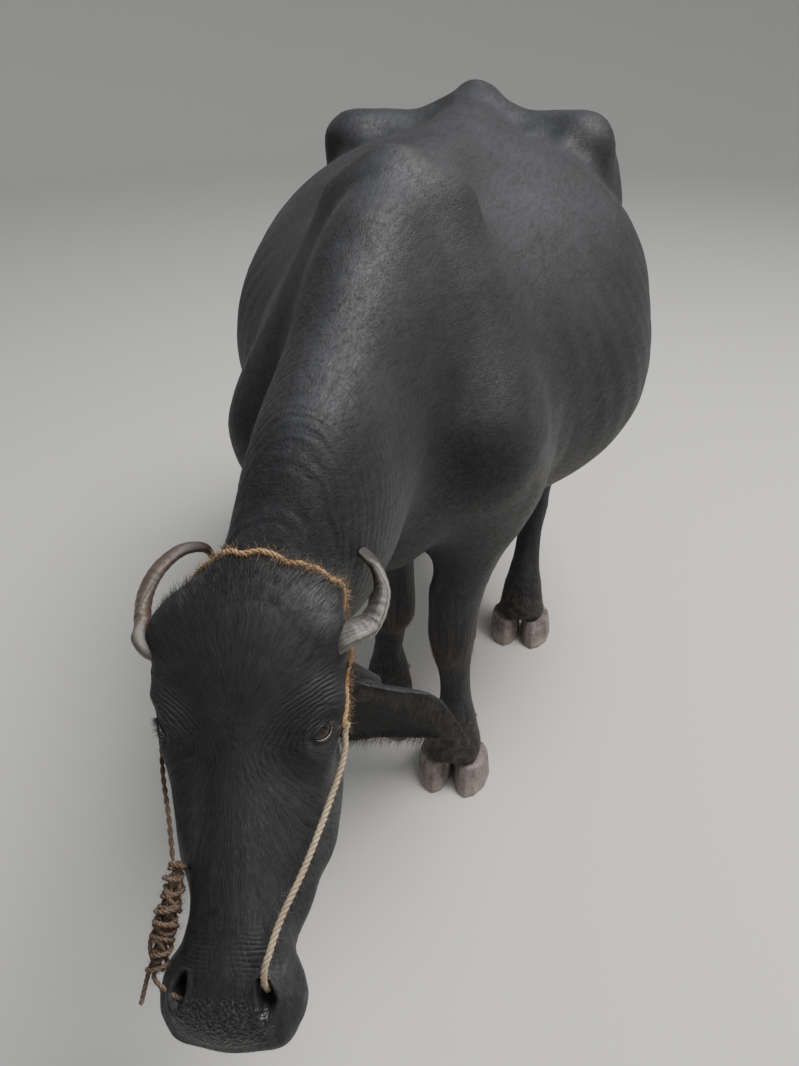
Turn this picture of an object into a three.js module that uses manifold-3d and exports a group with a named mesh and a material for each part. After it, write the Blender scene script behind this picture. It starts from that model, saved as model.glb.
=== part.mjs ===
// A standing water buffalo cow with her head low, life size, in millimetres.
// +Z is up, she faces -Y, and +X is her left side. Her hooves stand on z = 0.
import * as THREE from 'three';
import { mergeVertices } from 'three/addons/utils/BufferGeometryUtils.js';
import Module from 'manifold-3d';

const wasm = await Module();
wasm.setup();
const { Manifold, Mesh } = wasm;

// Whole animal
const bodyShift = [0, 260, 0]; // brings the middle of the animal's box onto the origin
const gap = 0.3; // air between neighbouring nodes
const barrelHalfWidth = 424;
const shoulderHalfWidth = 150;
const hipHalfWidth = 268;
const hookHeight = 1155;
const coronetHeight = 62;

// Head: where the poll is, and how far it is turned left, dropped below level and rolled
const headPlace = [-47, -1070, 928];
const headTurn = 9.2;
const headDrop = 47.3;
const headRoll = 7.1;

// Places on the head, in its own frame: to her left, down the face from the poll, out of the face
const eye = { centre: [80, 168, -58], radius: 20, gaze: [0.78, 0.1, 0.62], length: 17, height: 9.5 };
const nostril = { centre: [45, 444, -30], radii: [9, 21, 17] };
const mouth = { corner: [58, 392, -108], front: [0, 505, -92], halfGap: 2.2, depth: 9 };
const hornPaths = {
  horn_left: [[114, 67, -47], [139, 49, -64], [149, 17, -77], [141, -15, -90], [120, -39, -105],
    [104, -52, -114], [96, -60, -126], [98, -70, -138]],
  horn_right: [[-113, 79, -46], [-131, 49, -60], [-138, 15, -76], [-130, -18, -91], [-110, -44, -109],
    [-88, -50, -130], [-84, -34, -152], [-100, -22, -166]],
};
const horn = { halfWidth: 24, halfThickness: 14, tip: 2.5, sides: 8, steps: 13 };
const ear = { base: [100, 112, -112], length: 208, halfWidth: 78, thickness: 5, steps: 8, across: 6, locks: 6 };
const earPoses = {
  left: { along: [0.66, 0.42, -0.62], hollow: [0.12, -0.9, -0.2] },
  right: { along: [-0.16, 0.7, -0.7], hollow: [-0.8, -0.4, -0.3] },
};

// Feet, where the middle of each hoof stands
const hooves = {
  fore_left: [112, -434, 0],
  fore_right: [-62, -300, 0],
  hind_left: [208, 87, 0],
  hind_right: [-165, 470, 0],
};
const claw = { halfWidth: 36, toe: 74, heel: 46, spread: 38 };
const dewclaw = { radius: 15, length: 34, height: 118, apart: 27, behind: 52 };

// Tail, from its root to the end of its switch
const tail = {
  path: [[0, 725, 1105], [0, 775, 1060], [0, 800, 960], [0, 806, 780], [-4, 806, 600], [-8, 804, 440]],
  root: 38, end: 13,
};
const tailSwitch = { length: 250, lockLength: 150, locks: 14, lockHalfWidth: 21, radius: 22 };

const halter = { ropeRadius: 4, coirRadius: 8, clear: 2.5 };

// Cells of the faceted skins: across, along and up
const cells = { torso: [52, 70, 52], neck: [38, 52, 40], head: [20, 20, 20], leg: [28, 32, 50], udder: [46, 46, 46] };

const finishes = {
  hide: { color: '#26272a', roughness: 0.7 },
  horn: { color: '#74716a', roughness: 0.45 },
  hoof: { color: '#8f7e76', roughness: 0.8 },
  eye: { color: '#120f0e', roughness: 0.1 },
  rope: { color: '#b3905f', roughness: 0.95 },
  hair: { color: '#1d1a18', roughness: 0.9 },
};

// Vectors
const add = (a, b) => a.map((value, i) => value + b[i]);
const minus = (a, b) => a.map((value, i) => value - b[i]);
const scaled = (a, s) => a.map((value) => value * s);
const mixed = (a, b, t) => a.map((value, i) => value + (b[i] - value) * t);
const size = (a) => Math.hypot(...a);
const unit = (a) => scaled(a, 1 / size(a));
const dot = (a, b) => a[0] * b[0] + a[1] * b[1] + a[2] * b[2];
const cross = (a, b) => [a[1] * b[2] - a[2] * b[1], a[2] * b[0] - a[0] * b[2], a[0] * b[1] - a[1] * b[0]];
const worldAxes = [[1, 0, 0], [0, 1, 0], [0, 0, 1]];

// Repeatable draws, so that every lock falls the same way each time
function seeded(seed) {
  let state = seed;
  return () => {
    state = (state * 1664525 + 1013904223) % 4294967296;
    return state / 4294967296;
  };
}

const headAxes = (() => {
  const [turn, drop, roll] = [headTurn, headDrop, headRoll].map(THREE.MathUtils.degToRad);
  const across = [Math.cos(turn), Math.sin(turn), 0];
  const down = [Math.cos(drop) * Math.sin(turn), -Math.cos(drop) * Math.cos(turn), -Math.sin(drop)];
  const out = [Math.sin(drop) * Math.sin(turn), -Math.sin(drop) * Math.cos(turn), Math.cos(drop)];
  const left = add(scaled(across, Math.cos(roll)), scaled(out, Math.sin(roll)));
  return [left, down, minus(scaled(out, Math.cos(roll)), scaled(across, Math.sin(roll)))];
})();
const headWay = (v) => [0, 1, 2].map((i) => headAxes[0][i] * v[0] + headAxes[1][i] * v[1] + headAxes[2][i] * v[2]);
const onHead = (v) => add(headPlace, headWay(v));

// Forms: each gives a rough distance to its surface, negative inside
const ball = (centre, radii, axes = worldAxes) => ({ kind: 'ball', centre, radii, axes });
const bone = (from, to, start, end, side = [1, 0, 0]) => ({ kind: 'bone', from, to, start, end, side });

function ovalDistance(a, b, c, ra, rb, rc) {
  const near = Math.hypot(a / ra, b / rb, c / rc);
  const slope = Math.hypot(a / (ra * ra), b / (rb * rb), c / (rc * rc));
  return slope > 1e-9 ? (near * (near - 1)) / slope : -Math.min(ra, rb, rc);
}

function formDistance(form, p) {
  if (form.kind === 'ball') {
    const q = minus(p, form.centre);
    return ovalDistance(...form.axes.map((axis) => dot(axis, q)), ...form.radii);
  }
  const along = minus(form.to, form.from);
  const q = minus(p, form.from);
  const t = Math.min(1, Math.max(0, dot(q, along) / dot(along, along)));
  const r = minus(q, scaled(along, t));
  const across = dot(r, form.side);
  const rest = Math.sqrt(Math.max(0, dot(r, r) - across ** 2));
  const wide = form.start[0] + (form.end[0] - form.start[0]) * t;
  const deep = form.start[1] + (form.end[1] - form.start[1]) * t;
  return ovalDistance(across, rest, 0, wide, deep, 1);
}

function blend(a, b, k) {
  const h = Math.max(k - Math.abs(a - b), 0) / k;
  return Math.min(a, b) - h * h * k * 0.25;
}

// Flesh: the forms of the body, melted together in order, each with its own softness
const flesh = [];
const grow = (softness, ...forms) => forms.forEach((form) => flesh.push({ form, softness }));
const bothSides = (make) => [1, -1].flatMap((side) => make(side));

function growTrunk() {
  grow(1, ball([-8, 60, 838], [barrelHalfWidth, 520, 350]));
  grow(90, ball([0, 215, 872], [barrelHalfWidth - 4, 370, 322]));
  grow(110, ball([0, -300, 850], [270, 330, 285]));
  grow(60, ball([45, 40, 765], [395, 400, 280]));
  grow(90, bone([0, -440, 1208], [0, -120, 1150], [62, 62], [66, 60]));
  grow(60, bone([0, -120, 1150], [0, 300, 1158], [60, 60], [65, 60]));
  grow(60, bone([0, 300, 1160], [0, 520, 1205], [70, 60], [60, 55]));
  grow(50, bone([0, 520, 1200], [0, 730, 1085], [60, 55], [45, 50]));
  grow(70, ball([0, 520, 1015], [255, 235, 180]));
  grow(60, ...bothSides((s) => [
    bone([s * (hipHalfWidth - 18), 395, hookHeight - 10], [0, 490, 1185], [50, 45], [50, 40]),
    bone([s * (hipHalfWidth - 18), 400, hookHeight - 15], [s * 110, 700, 1030], [62, 70], [60, 70]),
  ]));
  grow(60, ...bothSides((s) => [ball([s * (hipHalfWidth + 15) - 8, 392, hookHeight - 2], [42, 62, 40])]));
  grow(70, ...bothSides((s) => [ball([s * 214, 505, 1000], [150, 190, 190])]));
  grow(80, ...bothSides((s) => [ball([s * 185, 500, 870], [140, 215, 250])]));
}

function growShoulders() {
  grow(90, ...bothSides((s) => [
    bone([s * 78, -400, 1150], [s * (shoulderHalfWidth + 10), -530, 860], [48, 70], [78, 110]),
    bone([s * shoulderHalfWidth, -530, 850], [s * (shoulderHalfWidth + 5), -430, 720], [85, 90], [78, 90]),
  ]));
  grow(70, ball([0, -585, 770], [105, 100, 150]));
}

function growNeck() {
  const poll = onHead([18, 15, -115]);
  grow(70, bone([0, -560, 985], [-2, -860, 905], [125, 225], [82, 165]));
  grow(60, bone([-2, -860, 905], poll, [80, 165], [52, 104]));
  grow(45, bone([0, -540, 1185], onHead([8, -15, -50]), [48, 48], [32, 34]));
}

function growHead() {
  const inHead = (centre, radii) => ball(onHead(centre), radii, headAxes);
  const stick = (from, to, start, end) => bone(onHead(from), onHead(to), start, end, headAxes[0]);
  grow(35, inHead([0, 95, -80], [102, 112, 80]));
  grow(30, inHead([0, 62, -55], [100, 82, 55]));
  grow(30, stick([0, 170, -78], [0, 410, -60], [64, 66], [48, 44]));
  grow(30, stick([0, 200, -150], [0, 425, -100], [64, 60], [38, 34]));
  grow(30, ...bothSides((s) => [
    inHead([s * 52, 235, -135], [44, 90, 74]),
    inHead([s * 70, 110, -72], [34, 70, 48]),
  ]));
  grow(22, ...bothSides((s) => [
    inHead([s * 74, 165, -60], [32, 44, 34]),
    inHead([s * 94, 142, -54], [22, 28, 24]),
    stick([s * 80, 195, -78], [s * 56, 310, -78], [20, 24], [14, 20]),
    stick([s * 60, 50, -55], [s * 96, 66, -48], [34, 34], [27, 27]),
  ]));
  grow(26, inHead([0, 452, -66], [74, 54, 48]));
  grow(20, ...bothSides((s) => [inHead([s * 50, 446, -64], [32, 40, 34])]));
  grow(16, inHead([0, 448, -112], [56, 48, 27]));
}

// A leg is a chain of joints, each with its half width and half depth
function growLeg(joints, softness) {
  for (let i = 1; i < joints.length; i += 1) {
    const [from, start] = joints[i - 1];
    const [to, end] = joints[i];
    grow(softness[i - 1], bone(from, to, start, end));
  }
}

function foreLeg(side, hoof, elbow, kneeAcross) {
  const shoulderDepth = -445;
  const knee = [kneeAcross, shoulderDepth * 0.45 + (hoof[1] + 13) * 0.55, 394];
  const fetlock = [hoof[0], hoof[1] + 14, 180];
  return [
    [[elbow, shoulderDepth, 730], [82, 105]],
    [add(knee, [side * 3, 0, 60]), [47, 56]],
    [add(knee, [0, 0, -30]), [47, 50]],
    [mixed(knee, fetlock, 0.44), [33, 36]],
    [fetlock, [34, 38]],
    [[hoof[0], hoof[1] + 12, 135], [46, 48]],
    [[hoof[0], hoof[1] - 4, 68], [65, 54]],
  ];
}

function hindLeg(side, hoof, reach) {
  return [
    [[side * 195, 470 - reach * 0.2, 830], [105, 190]],
    [[side * (205 + reach * 0.03), 400 - reach * 0.42, 680], [94, 128]],
    [[side * 88 + hoof[0] * 0.6, hoof[1] + 158, 470], [46, 62]],
    [[hoof[0] + side * 10, hoof[1] + 150, 410], [44, 62]],
    [[hoof[0] + side * 8, hoof[1] + 104, 320], [34, 44]],
    [[hoof[0], hoof[1] + 46, 190], [34, 38]],
    [[hoof[0], hoof[1] + 26, 135], [46, 48]],
    [[hoof[0], hoof[1] - 2, 68], [65, 54]],
  ];
}

growTrunk();
growShoulders();
growNeck();
growHead();
const foreSoftness = [60, 25, 20, 20, 18, 15];
const hindSoftness = [70, 50, 30, 25, 20, 20, 15];
growLeg(foreLeg(1, hooves.fore_left, 160, 102), foreSoftness);
growLeg(foreLeg(-1, hooves.fore_right, -72, -34), foreSoftness);
growLeg(hindLeg(1, hooves.hind_left, 420), hindSoftness);
growLeg(hindLeg(-1, hooves.hind_right, 0), hindSoftness);

function fleshDistance(p) {
  let distance = formDistance(flesh[0].form, p);
  for (const { form, softness } of flesh.slice(1)) {
    distance = blend(distance, formDistance(form, p), softness);
  }
  return distance;
}

function udderDistance(p) {
  const bag = ball([10, 355, 575], [92, 120, 85]);
  return formDistance(bag, p);
}

// A closed faceted skin round a form, inside a box of cells
function skinOf(distance, low, high, cell) {
  const count = low.map((value, i) => Math.ceil((high[i] - value) / cell[i]) + 3);
  const at = (i, j, k) => [low[0] + (i - 1) * cell[0], low[1] + (j - 1) * cell[1], low[2] + (k - 1) * cell[2]];
  const index = (i, j, k) => (k * count[1] + j) * count[0] + i;
  const field = new Float32Array(count[0] * count[1] * count[2]);
  for (let k = 0; k < count[2]; k += 1) {
    for (let j = 0; j < count[1]; j += 1) {
      for (let i = 0; i < count[0]; i += 1) {
        const edge = [i, j, k].some((n, axis) => n === 0 || n === count[axis] - 1);
        field[index(i, j, k)] = edge ? cell[0] : distance(at(i, j, k));
      }
    }
  }
  const steps = [1, count[0], count[0] * count[1]];
  fillCheckers(field, count, index, steps);
  const corners = [0, 1, 2, 3, 4, 5, 6, 7].map((n) => [n & 1, (n >> 1) & 1, (n >> 2) & 1]);
  const edges = corners.flatMap((_, a) => [1, 2, 4].filter((bit) => !(a & bit)).map((bit) => [a, a | bit]));
  const points = [];
  const pointOf = new Map();
  for (let k = 0; k < count[2] - 1; k += 1) {
    for (let j = 0; j < count[1] - 1; j += 1) {
      for (let i = 0; i < count[0] - 1; i += 1) {
        const values = corners.map(([a, b, c]) => field[index(i + a, j + b, k + c)]);
        const crossed = edges.filter(([a, b]) => (values[a] < 0) !== (values[b] < 0));
        if (!crossed.length) continue;
        const hits = crossed.map(([a, b]) => mixed(corners[a], corners[b], values[a] / (values[a] - values[b])));
        const middle = scaled(hits.reduce(add), 1 / hits.length);
        pointOf.set(index(i, j, k), points.length);
        points.push(settle(distance, at(i, j, k).map((v, axis) => v + middle[axis] * cell[axis]), cell));
      }
    }
  }
  const triangles = [];
  for (let k = 0; k < count[2] - 1; k += 1) {
    for (let j = 0; j < count[1] - 1; j += 1) {
      for (let i = 0; i < count[0] - 1; i += 1) {
        const here = index(i, j, k);
        const place = [i, j, k];
        for (let axis = 0; axis < 3; axis += 1) {
          const inside = field[here] < 0;
          if (inside === field[here + steps[axis]] < 0) continue;
          if (place[(axis + 1) % 3] === 0 || place[(axis + 2) % 3] === 0) continue;
          const b = steps[(axis + 1) % 3];
          const c = steps[(axis + 2) % 3];
          const quad = [here - b - c, here - c, here, here - b].map((n) => pointOf.get(n));
          triangles.push(...splitQuad(points, inside ? quad : quad.reverse()));
        }
      }
    }
  }
  return solidFrom(points.flat(), triangles);
}

// Four corners of a cell's side in a checker pattern would pinch the skin, so they are filled
function fillCheckers(field, count, index, steps) {
  let again = true;
  while (again) {
    again = false;
    for (let k = 1; k < count[2] - 2; k += 1) {
      for (let j = 1; j < count[1] - 2; j += 1) {
        for (let i = 1; i < count[0] - 2; i += 1) {
          for (let axis = 0; axis < 3; axis += 1) {
            const a = index(i, j, k);
            const b = steps[(axis + 1) % 3];
            const c = steps[(axis + 2) % 3];
            const side = [a, a + b, a + b + c, a + c];
            const signs = side.map((n) => field[n] < 0);
            if (signs[0] !== signs[2] || signs[1] !== signs[3] || signs[0] === signs[1]) continue;
            side.forEach((n) => { field[n] = Math.min(field[n], -0.5); });
            again = true;
          }
        }
      }
    }
  }
}

// Draws a point onto the surface, but not far from where it started
function settle(distance, start, cell) {
  let p = start;
  const h = cell[0] * 0.05;
  for (let n = 0; n < 3; n += 1) {
    const d = distance(p);
    const slope = worldAxes.map((axis) => (distance(add(p, scaled(axis, h))) - d) / h);
    const square = dot(slope, slope);
    if (square < 1e-6) break;
    p = minus(p, scaled(slope, d / square));
  }
  const reach = 0.38; // of a cell, so that neighbours don't cross
  return p.map((v, i) => Math.min(start[i] + cell[i] * reach, Math.max(start[i] - cell[i] * reach, v)));
}

function splitQuad(points, [a, b, c, d]) {
  const span = (m, n) => size(minus(points[m], points[n]));
  return span(a, c) < span(b, d) ? [a, b, c, a, c, d] : [a, b, d, b, c, d];
}

// Solids
function solidFrom(vertices, triangles) {
  const solid = new Manifold(new Mesh({
    numProp: 3, vertProperties: new Float32Array(vertices), triVerts: new Uint32Array(triangles),
  }));
  if (solid.volume() > 0) return solid;
  const turned = triangles.map((_, i, all) => all[i - (i % 3) + [0, 2, 1][i % 3]]);
  return new Manifold(new Mesh({
    numProp: 3, vertProperties: new Float32Array(vertices), triVerts: new Uint32Array(turned),
  }));
}

function solidOf(geometry, matrix = new THREE.Matrix4()) {
  const bare = geometry.clone().applyMatrix4(matrix);
  bare.deleteAttribute('normal');
  bare.deleteAttribute('uv');
  const joined = mergeVertices(bare, 1e-3);
  return solidFrom([...joined.attributes.position.array], [...joined.index.array]);
}

const largest = (solid) => solid.decompose().reduce((a, b) => (a.volume() > b.volume() ? a : b));
const moved = (solid, way, distance) => solid.translate(scaled(unit(way), distance));
const joinAll = (solids) => solids.reduce((a, b) => a.add(b));

// A big block on one side of a plane
function halfSpace(point, normal, shift = 0) {
  const side = 3000;
  const turn = new THREE.Quaternion().setFromUnitVectors(
    new THREE.Vector3(0, 0, 1),
    new THREE.Vector3(...normal).normalize(),
  );
  const centre = new THREE.Vector3(0, 0, side / 2 + shift).applyQuaternion(turn);
  centre.add(new THREE.Vector3(...point));
  const matrix = new THREE.Matrix4().compose(centre, turn, new THREE.Vector3(1, 1, 1));
  return solidOf(new THREE.BoxGeometry(side, side, side), matrix);
}

function block(low, high, grown = 0) {
  const span = high.map((v, i) => v - low[i] + 2 * grown);
  return solidOf(new THREE.BoxGeometry(...span), new THREE.Matrix4().makeTranslation(...mixed(low, high, 0.5)));
}

// An oval ball with given axes
function lump(centre, radii, axes, rows = 8) {
  const geometry = new THREE.SphereGeometry(1, rows * 2, rows);
  const place = geometry.attributes.position;
  for (let i = 0; i < place.count; i += 1) {
    const v = [place.getX(i) * radii[0], place.getY(i) * radii[1], place.getZ(i) * radii[2]];
    place.setXYZ(i, ...add(centre, [0, 1, 2].map((n) => axes[0][n] * v[0] + axes[1][n] * v[1] + axes[2][n] * v[2])));
  }
  return solidOf(geometry);
}

// A skin over rings of points, closed at both ends by the middle of its end ring
function loft(rings) {
  const sides = rings[0].length;
  const points = rings.flat();
  const triangles = [];
  for (let r = 0; r < rings.length - 1; r += 1) {
    for (let n = 0; n < sides; n += 1) {
      const a = r * sides + n;
      const b = r * sides + ((n + 1) % sides);
      triangles.push(a, b, b + sides, a, b + sides, a + sides);
    }
  }
  [[0, false], [rings.length - 1, true]].forEach(([r, last]) => {
    const hub = points.length;
    points.push(scaled(rings[r].reduce(add), 1 / sides));
    for (let n = 0; n < sides; n += 1) {
      const a = r * sides + n;
      const b = r * sides + ((n + 1) % sides);
      triangles.push(...(last ? [a, b, hub] : [b, a, hub]));
    }
  });
  return solidFrom(points.flat(), triangles);
}

// A tapering oval limb along a curve: size(t) gives its half width and half thickness
function sweep(path, steps, sides, sizeAt, side) {
  const curve = new THREE.CatmullRomCurve3(path.map((p) => new THREE.Vector3(...p)));
  const rings = [];
  for (let i = 0; i <= steps; i += 1) {
    const t = i / steps;
    const middle = curve.getPointAt(t).toArray();
    const along = curve.getTangentAt(t).toArray();
    const wide = unit(minus(side, scaled(along, dot(side, along))));
    const thick = cross(along, wide);
    const [a, b] = sizeAt(t);
    rings.push(Array.from({ length: sides }, (_, n) => {
      const angle = (n / sides) * Math.PI * 2;
      return add(middle, add(scaled(wide, Math.cos(angle) * a), scaled(thick, Math.sin(angle) * b)));
    }));
  }
  return loft(rings);
}

// A round rope along a path
function rope(path, radius, steps, sides = 6) {
  return sweep(path, steps, sides, () => [radius, radius], [0.31, 0.52, 0.79]);
}

// A flat tapering lock that bends from one way to another
function lock(root, way, droop, length, halfWidth, flat) {
  const parts = 3;
  const rings = [];
  let point = root;
  for (let i = 0; i <= parts; i += 1) {
    const t = i / parts;
    const along = unit(mixed(way, droop, t));
    const wide = unit(cross(along, flat));
    const thick = unit(cross(along, wide));
    const width = halfWidth * (1 - t * 0.85);
    const depth = halfWidth * 0.35 * (1 - t * 0.7);
    rings.push([[1, 0], [0, 1], [-1, 0], [0, -1]].map(([a, b]) => (
      add(point, add(scaled(wide, a * width), scaled(thick, b * depth)))
    )));
    point = add(point, scaled(along, length / parts));
  }
  return loft(rings);
}

// Head details
function eyeFrame(s) {
  const mirror = ([u, v, w]) => [u * s, v, w];
  const gaze = unit(headWay(mirror(eye.gaze)));
  const slant = headWay(mirror([0.72, -0.68, -0.35]));
  const long = unit(minus(slant, scaled(gaze, dot(slant, gaze))));
  return { centre: onHead(mirror(eye.centre)), gaze, long, short: unit(cross(gaze, long)) };
}

// The slit between the lids, as a ring of directions from the middle of the eyeball
function lidRing(frame, grown, count) {
  return Array.from({ length: count }, (_, n) => {
    const angle = (n / count) * Math.PI * 2;
    const a = Math.cos(angle) * (eye.length + grown);
    const b = Math.sign(Math.sin(angle)) * Math.abs(Math.sin(angle)) ** 1.3 * (eye.height + grown);
    return unit(add(scaled(frame.gaze, eye.radius), add(scaled(frame.long, a), scaled(frame.short, b))));
  });
}

function lidsOn(head, s) {
  const frame = eyeFrame(s);
  const ring = lidRing(frame, 0, 10);
  const slit = loft([0.3, 2.2].map((reach) => ring.map((way) => add(frame.centre, scaled(way, eye.radius * reach)))));
  const socket = lump(frame.centre, [1, 1, 1].map(() => eye.radius + 0.8), [frame.long, frame.short, frame.gaze], 6);
  const tube = lidRing(frame, 2.5, 14).map((way) => {
    const middle = add(frame.centre, scaled(way, eye.radius + 3.6));
    const side = unit(minus(way, scaled(frame.gaze, dot(way, frame.gaze))));
    return [[1, 0], [0, 1], [-1, 0], [0, -1]].map(([a, b]) => (
      add(middle, add(scaled(side, a * 3.4), scaled(way, b * 2.8)))
    ));
  });
  return head.subtract(slit).add(hoop(tube)).subtract(socket);
}

// A loft whose last ring joins its first
function hoop(rings) {
  const sides = rings[0].length;
  const triangles = [];
  for (let r = 0; r < rings.length; r += 1) {
    const next = (r + 1) % rings.length;
    for (let n = 0; n < sides; n += 1) {
      const m = (n + 1) % sides;
      triangles.push(r * sides + n, r * sides + m, next * sides + m);
      triangles.push(r * sides + n, next * sides + m, next * sides + n);
    }
  }
  return solidFrom(rings.flat(2), triangles);
}

function nostrilsIn(head) {
  return [1, -1].reduce((solid, s) => {
    const lean = unit(headWay([s * 0.35, 1, -0.25]));
    const outward = headWay([s * 0.25, 0.25, 1]);
    const deep = unit(minus(outward, scaled(lean, dot(outward, lean))));
    const [u, v, w] = nostril.centre;
    return solid.subtract(lump(onHead([s * u, v, w]), nostril.radii, [cross(lean, deep), lean, deep], 5));
  }, head);
}

// The line between the lips, cut along the muzzle from one corner round to the other
function mouthIn(head) {
  const [u, v, w] = mouth.corner;
  const [, tipV, tipW] = mouth.front;
  const rings = [];
  const count = 16;
  for (let i = 0; i <= count; i += 1) {
    const angle = (i / count) * Math.PI;
    const bow = Math.sin(angle) ** 0.6;
    const guess = onHead([-Math.cos(angle) * u * 1.15, v + (tipV - v) * bow, w + (tipW - w) * bow]);
    const middle = settle(fleshDistance, guess, [60, 60, 60]);
    const inward = unit(minus(onHead([0, v, (w + tipW) / 2]), middle));
    const up = headWay([0, 0, 1]);
    const end = i === 0 || i === count ? 0.35 : 1;
    rings.push([[-mouth.depth, 0], [0, -mouth.halfGap], [mouth.depth, 0], [0, mouth.halfGap]].map(([a, b]) => (
      add(middle, add(scaled(inward, a * end), scaled(up, b * end)))
    )));
  }
  return head.subtract(loft(rings));
}

function makeHorn(name) {
  const path = hornPaths[name].map(onHead);
  const [u] = hornPaths[name][0];
  const root = onHead([u * 0.62, 84, -82]);
  const taper = (t) => {
    const body = (1 - t) ** 0.75;
    return [horn.tip + (horn.halfWidth - horn.tip) * body, horn.tip + (horn.halfThickness - horn.tip) * body];
  };
  return sweep([root, ...path], horn.steps, horn.sides, taper, headWay([0.35, 0.6, 0.7]));
}

// An ear is a curled leaf with a solid root, its cup facing forward, with a fringe below
function makeEar(s, pose) {
  const base = onHead([s * ear.base[0], ear.base[1], ear.base[2]]);
  const along = unit(pose.along);
  const { hollow } = pose;
  const face = unit(minus(hollow, scaled(along, dot(hollow, along))));
  const wide = unit(cross(along, face));
  const outline = (t) => ear.halfWidth * (0.85 + 0.15 * Math.min(1, t / 0.25)) * Math.min(1, ((1 - t) / 0.62)) ** 0.8 + 1;
  const curl = (t) => 2.3 - 1.2 * Math.min(1, t / 0.5);
  const droop = (t) => scaled([0, 0, -1], 26 * t * t);
  const surface = (t, x, depth) => {
    const turn = (x * curl(t)) / 2;
    const radius = (2 * outline(t)) / curl(t) - depth;
    const middle = add(add(base, scaled(along, t * ear.length)), droop(t));
    return add(middle, add(scaled(wide, Math.sin(turn) * radius), scaled(face, (1 - Math.cos(turn)) * radius + depth)));
  };
  const rings = [];
  for (let i = 0; i <= ear.steps; i += 1) {
    const t = i / ear.steps;
    const ring = [];
    const thin = ear.thickness * (1 - 0.6 * t);
    for (let n = 0; n <= ear.across; n += 1) ring.push(surface(t, (2 * n) / ear.across - 1, 0));
    for (let n = ear.across; n >= 0; n -= 1) ring.push(surface(t, ((2 * n) / ear.across - 1) * 0.97, thin));
    rings.push(ring);
  }
  const random = seeded(s > 0 ? 11 : 12);
  const lower = wide[2] < 0 ? 1 : -1;
  const locks = Array.from({ length: ear.locks }, (_, n) => {
    const t = 0.1 + (0.64 * n) / (ear.locks - 1);
    const root = surface(t, lower * 0.93, ear.thickness * 0.4);
    const lean = add([0, 0, -1], scaled(along, 0.25 * random()));
    return lock(root, scaled(wide, lower), lean, 24 + 12 * random(), 9, face);
  });
  const stub = sweep(
    [add(base, scaled(along, -45)), base, add(base, scaled(along, 34))],
    3,
    6,
    (t) => [30 - 6 * t, 26 - 10 * t],
    wide,
  );
  return joinAll([loftSheet(rings), stub, ...locks]);
}

// A loft of flat, folded rings, whose ends are closed across the thickness
function loftSheet(rings) {
  const sides = rings[0].length;
  const points = rings.flat();
  const triangles = [];
  for (let r = 0; r < rings.length - 1; r += 1) {
    for (let n = 0; n < sides; n += 1) {
      const a = r * sides + n;
      const b = r * sides + ((n + 1) % sides);
      triangles.push(a, b, b + sides, a, b + sides, a + sides);
    }
  }
  [[0, false], [rings.length - 1, true]].forEach(([r, last]) => {
    for (let n = 0; n < sides / 2 - 1; n += 1) {
      const quad = [n, n + 1, sides - 2 - n, sides - 1 - n].map((m) => r * sides + m);
      const [a, b, c, d] = last ? quad : quad.reverse();
      triangles.push(a, b, c, a, c, d);
    }
  });
  return solidFrom(points.flat(), triangles);
}

// Feet: each hoof is two claws, a slit apart, flat below
function makeClaw(hoof, side) {
  const rows = [[0, 1, 1], [0.12, 1.02, 1.02], [0.6, 0.95, 0.86], [1, 0.86, 0.66]];
  const top = coronetHeight - gap;
  const centre = hoof[0] + side * claw.spread;
  return loft(rows.map(([h, wide, long]) => Array.from({ length: 12 }, (_, n) => {
    const angle = (n / 12) * Math.PI * 2;
    const across = Math.sign(Math.cos(angle)) * Math.abs(Math.cos(angle)) ** 0.75;
    const ahead = Math.sin(angle);
    const inner = across * side < 0;
    const point = 1 - 0.34 * Math.max(0, ahead) ** 3;
    const x = across * (inner ? claw.spread - 2.5 : claw.halfWidth * 1.08 * wide) * point;
    const y = ahead > 0 ? -ahead * claw.toe * long : -ahead * claw.heel * wide;
    return [centre + x - side * (1 - Math.min(1, 1.4 - ahead)) * 6, hoof[1] + y, h * top];
  })));
}

function makeDewclaw(hoof, side, lean) {
  const root = [hoof[0] + side * dewclaw.apart, hoof[1] + dewclaw.behind + lean, dewclaw.height];
  const way = unit([side * 0.15, 0.75, -0.65]);
  const path = [add(root, scaled(way, -24)), root, add(root, scaled(way, dewclaw.length))];
  return sweep(path, 3, 6, (t) => [dewclaw.radius * (1.1 - 0.55 * t), dewclaw.radius * (0.9 - 0.5 * t)], [1, 0, 0]);
}

function makeTail() {
  return sweep(tail.path, 14, 10, (t) => {
    const half = tail.root + (tail.end - tail.root) * t ** 0.5;
    return [half, half];
  }, [1, 0, 0]);
}

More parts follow.
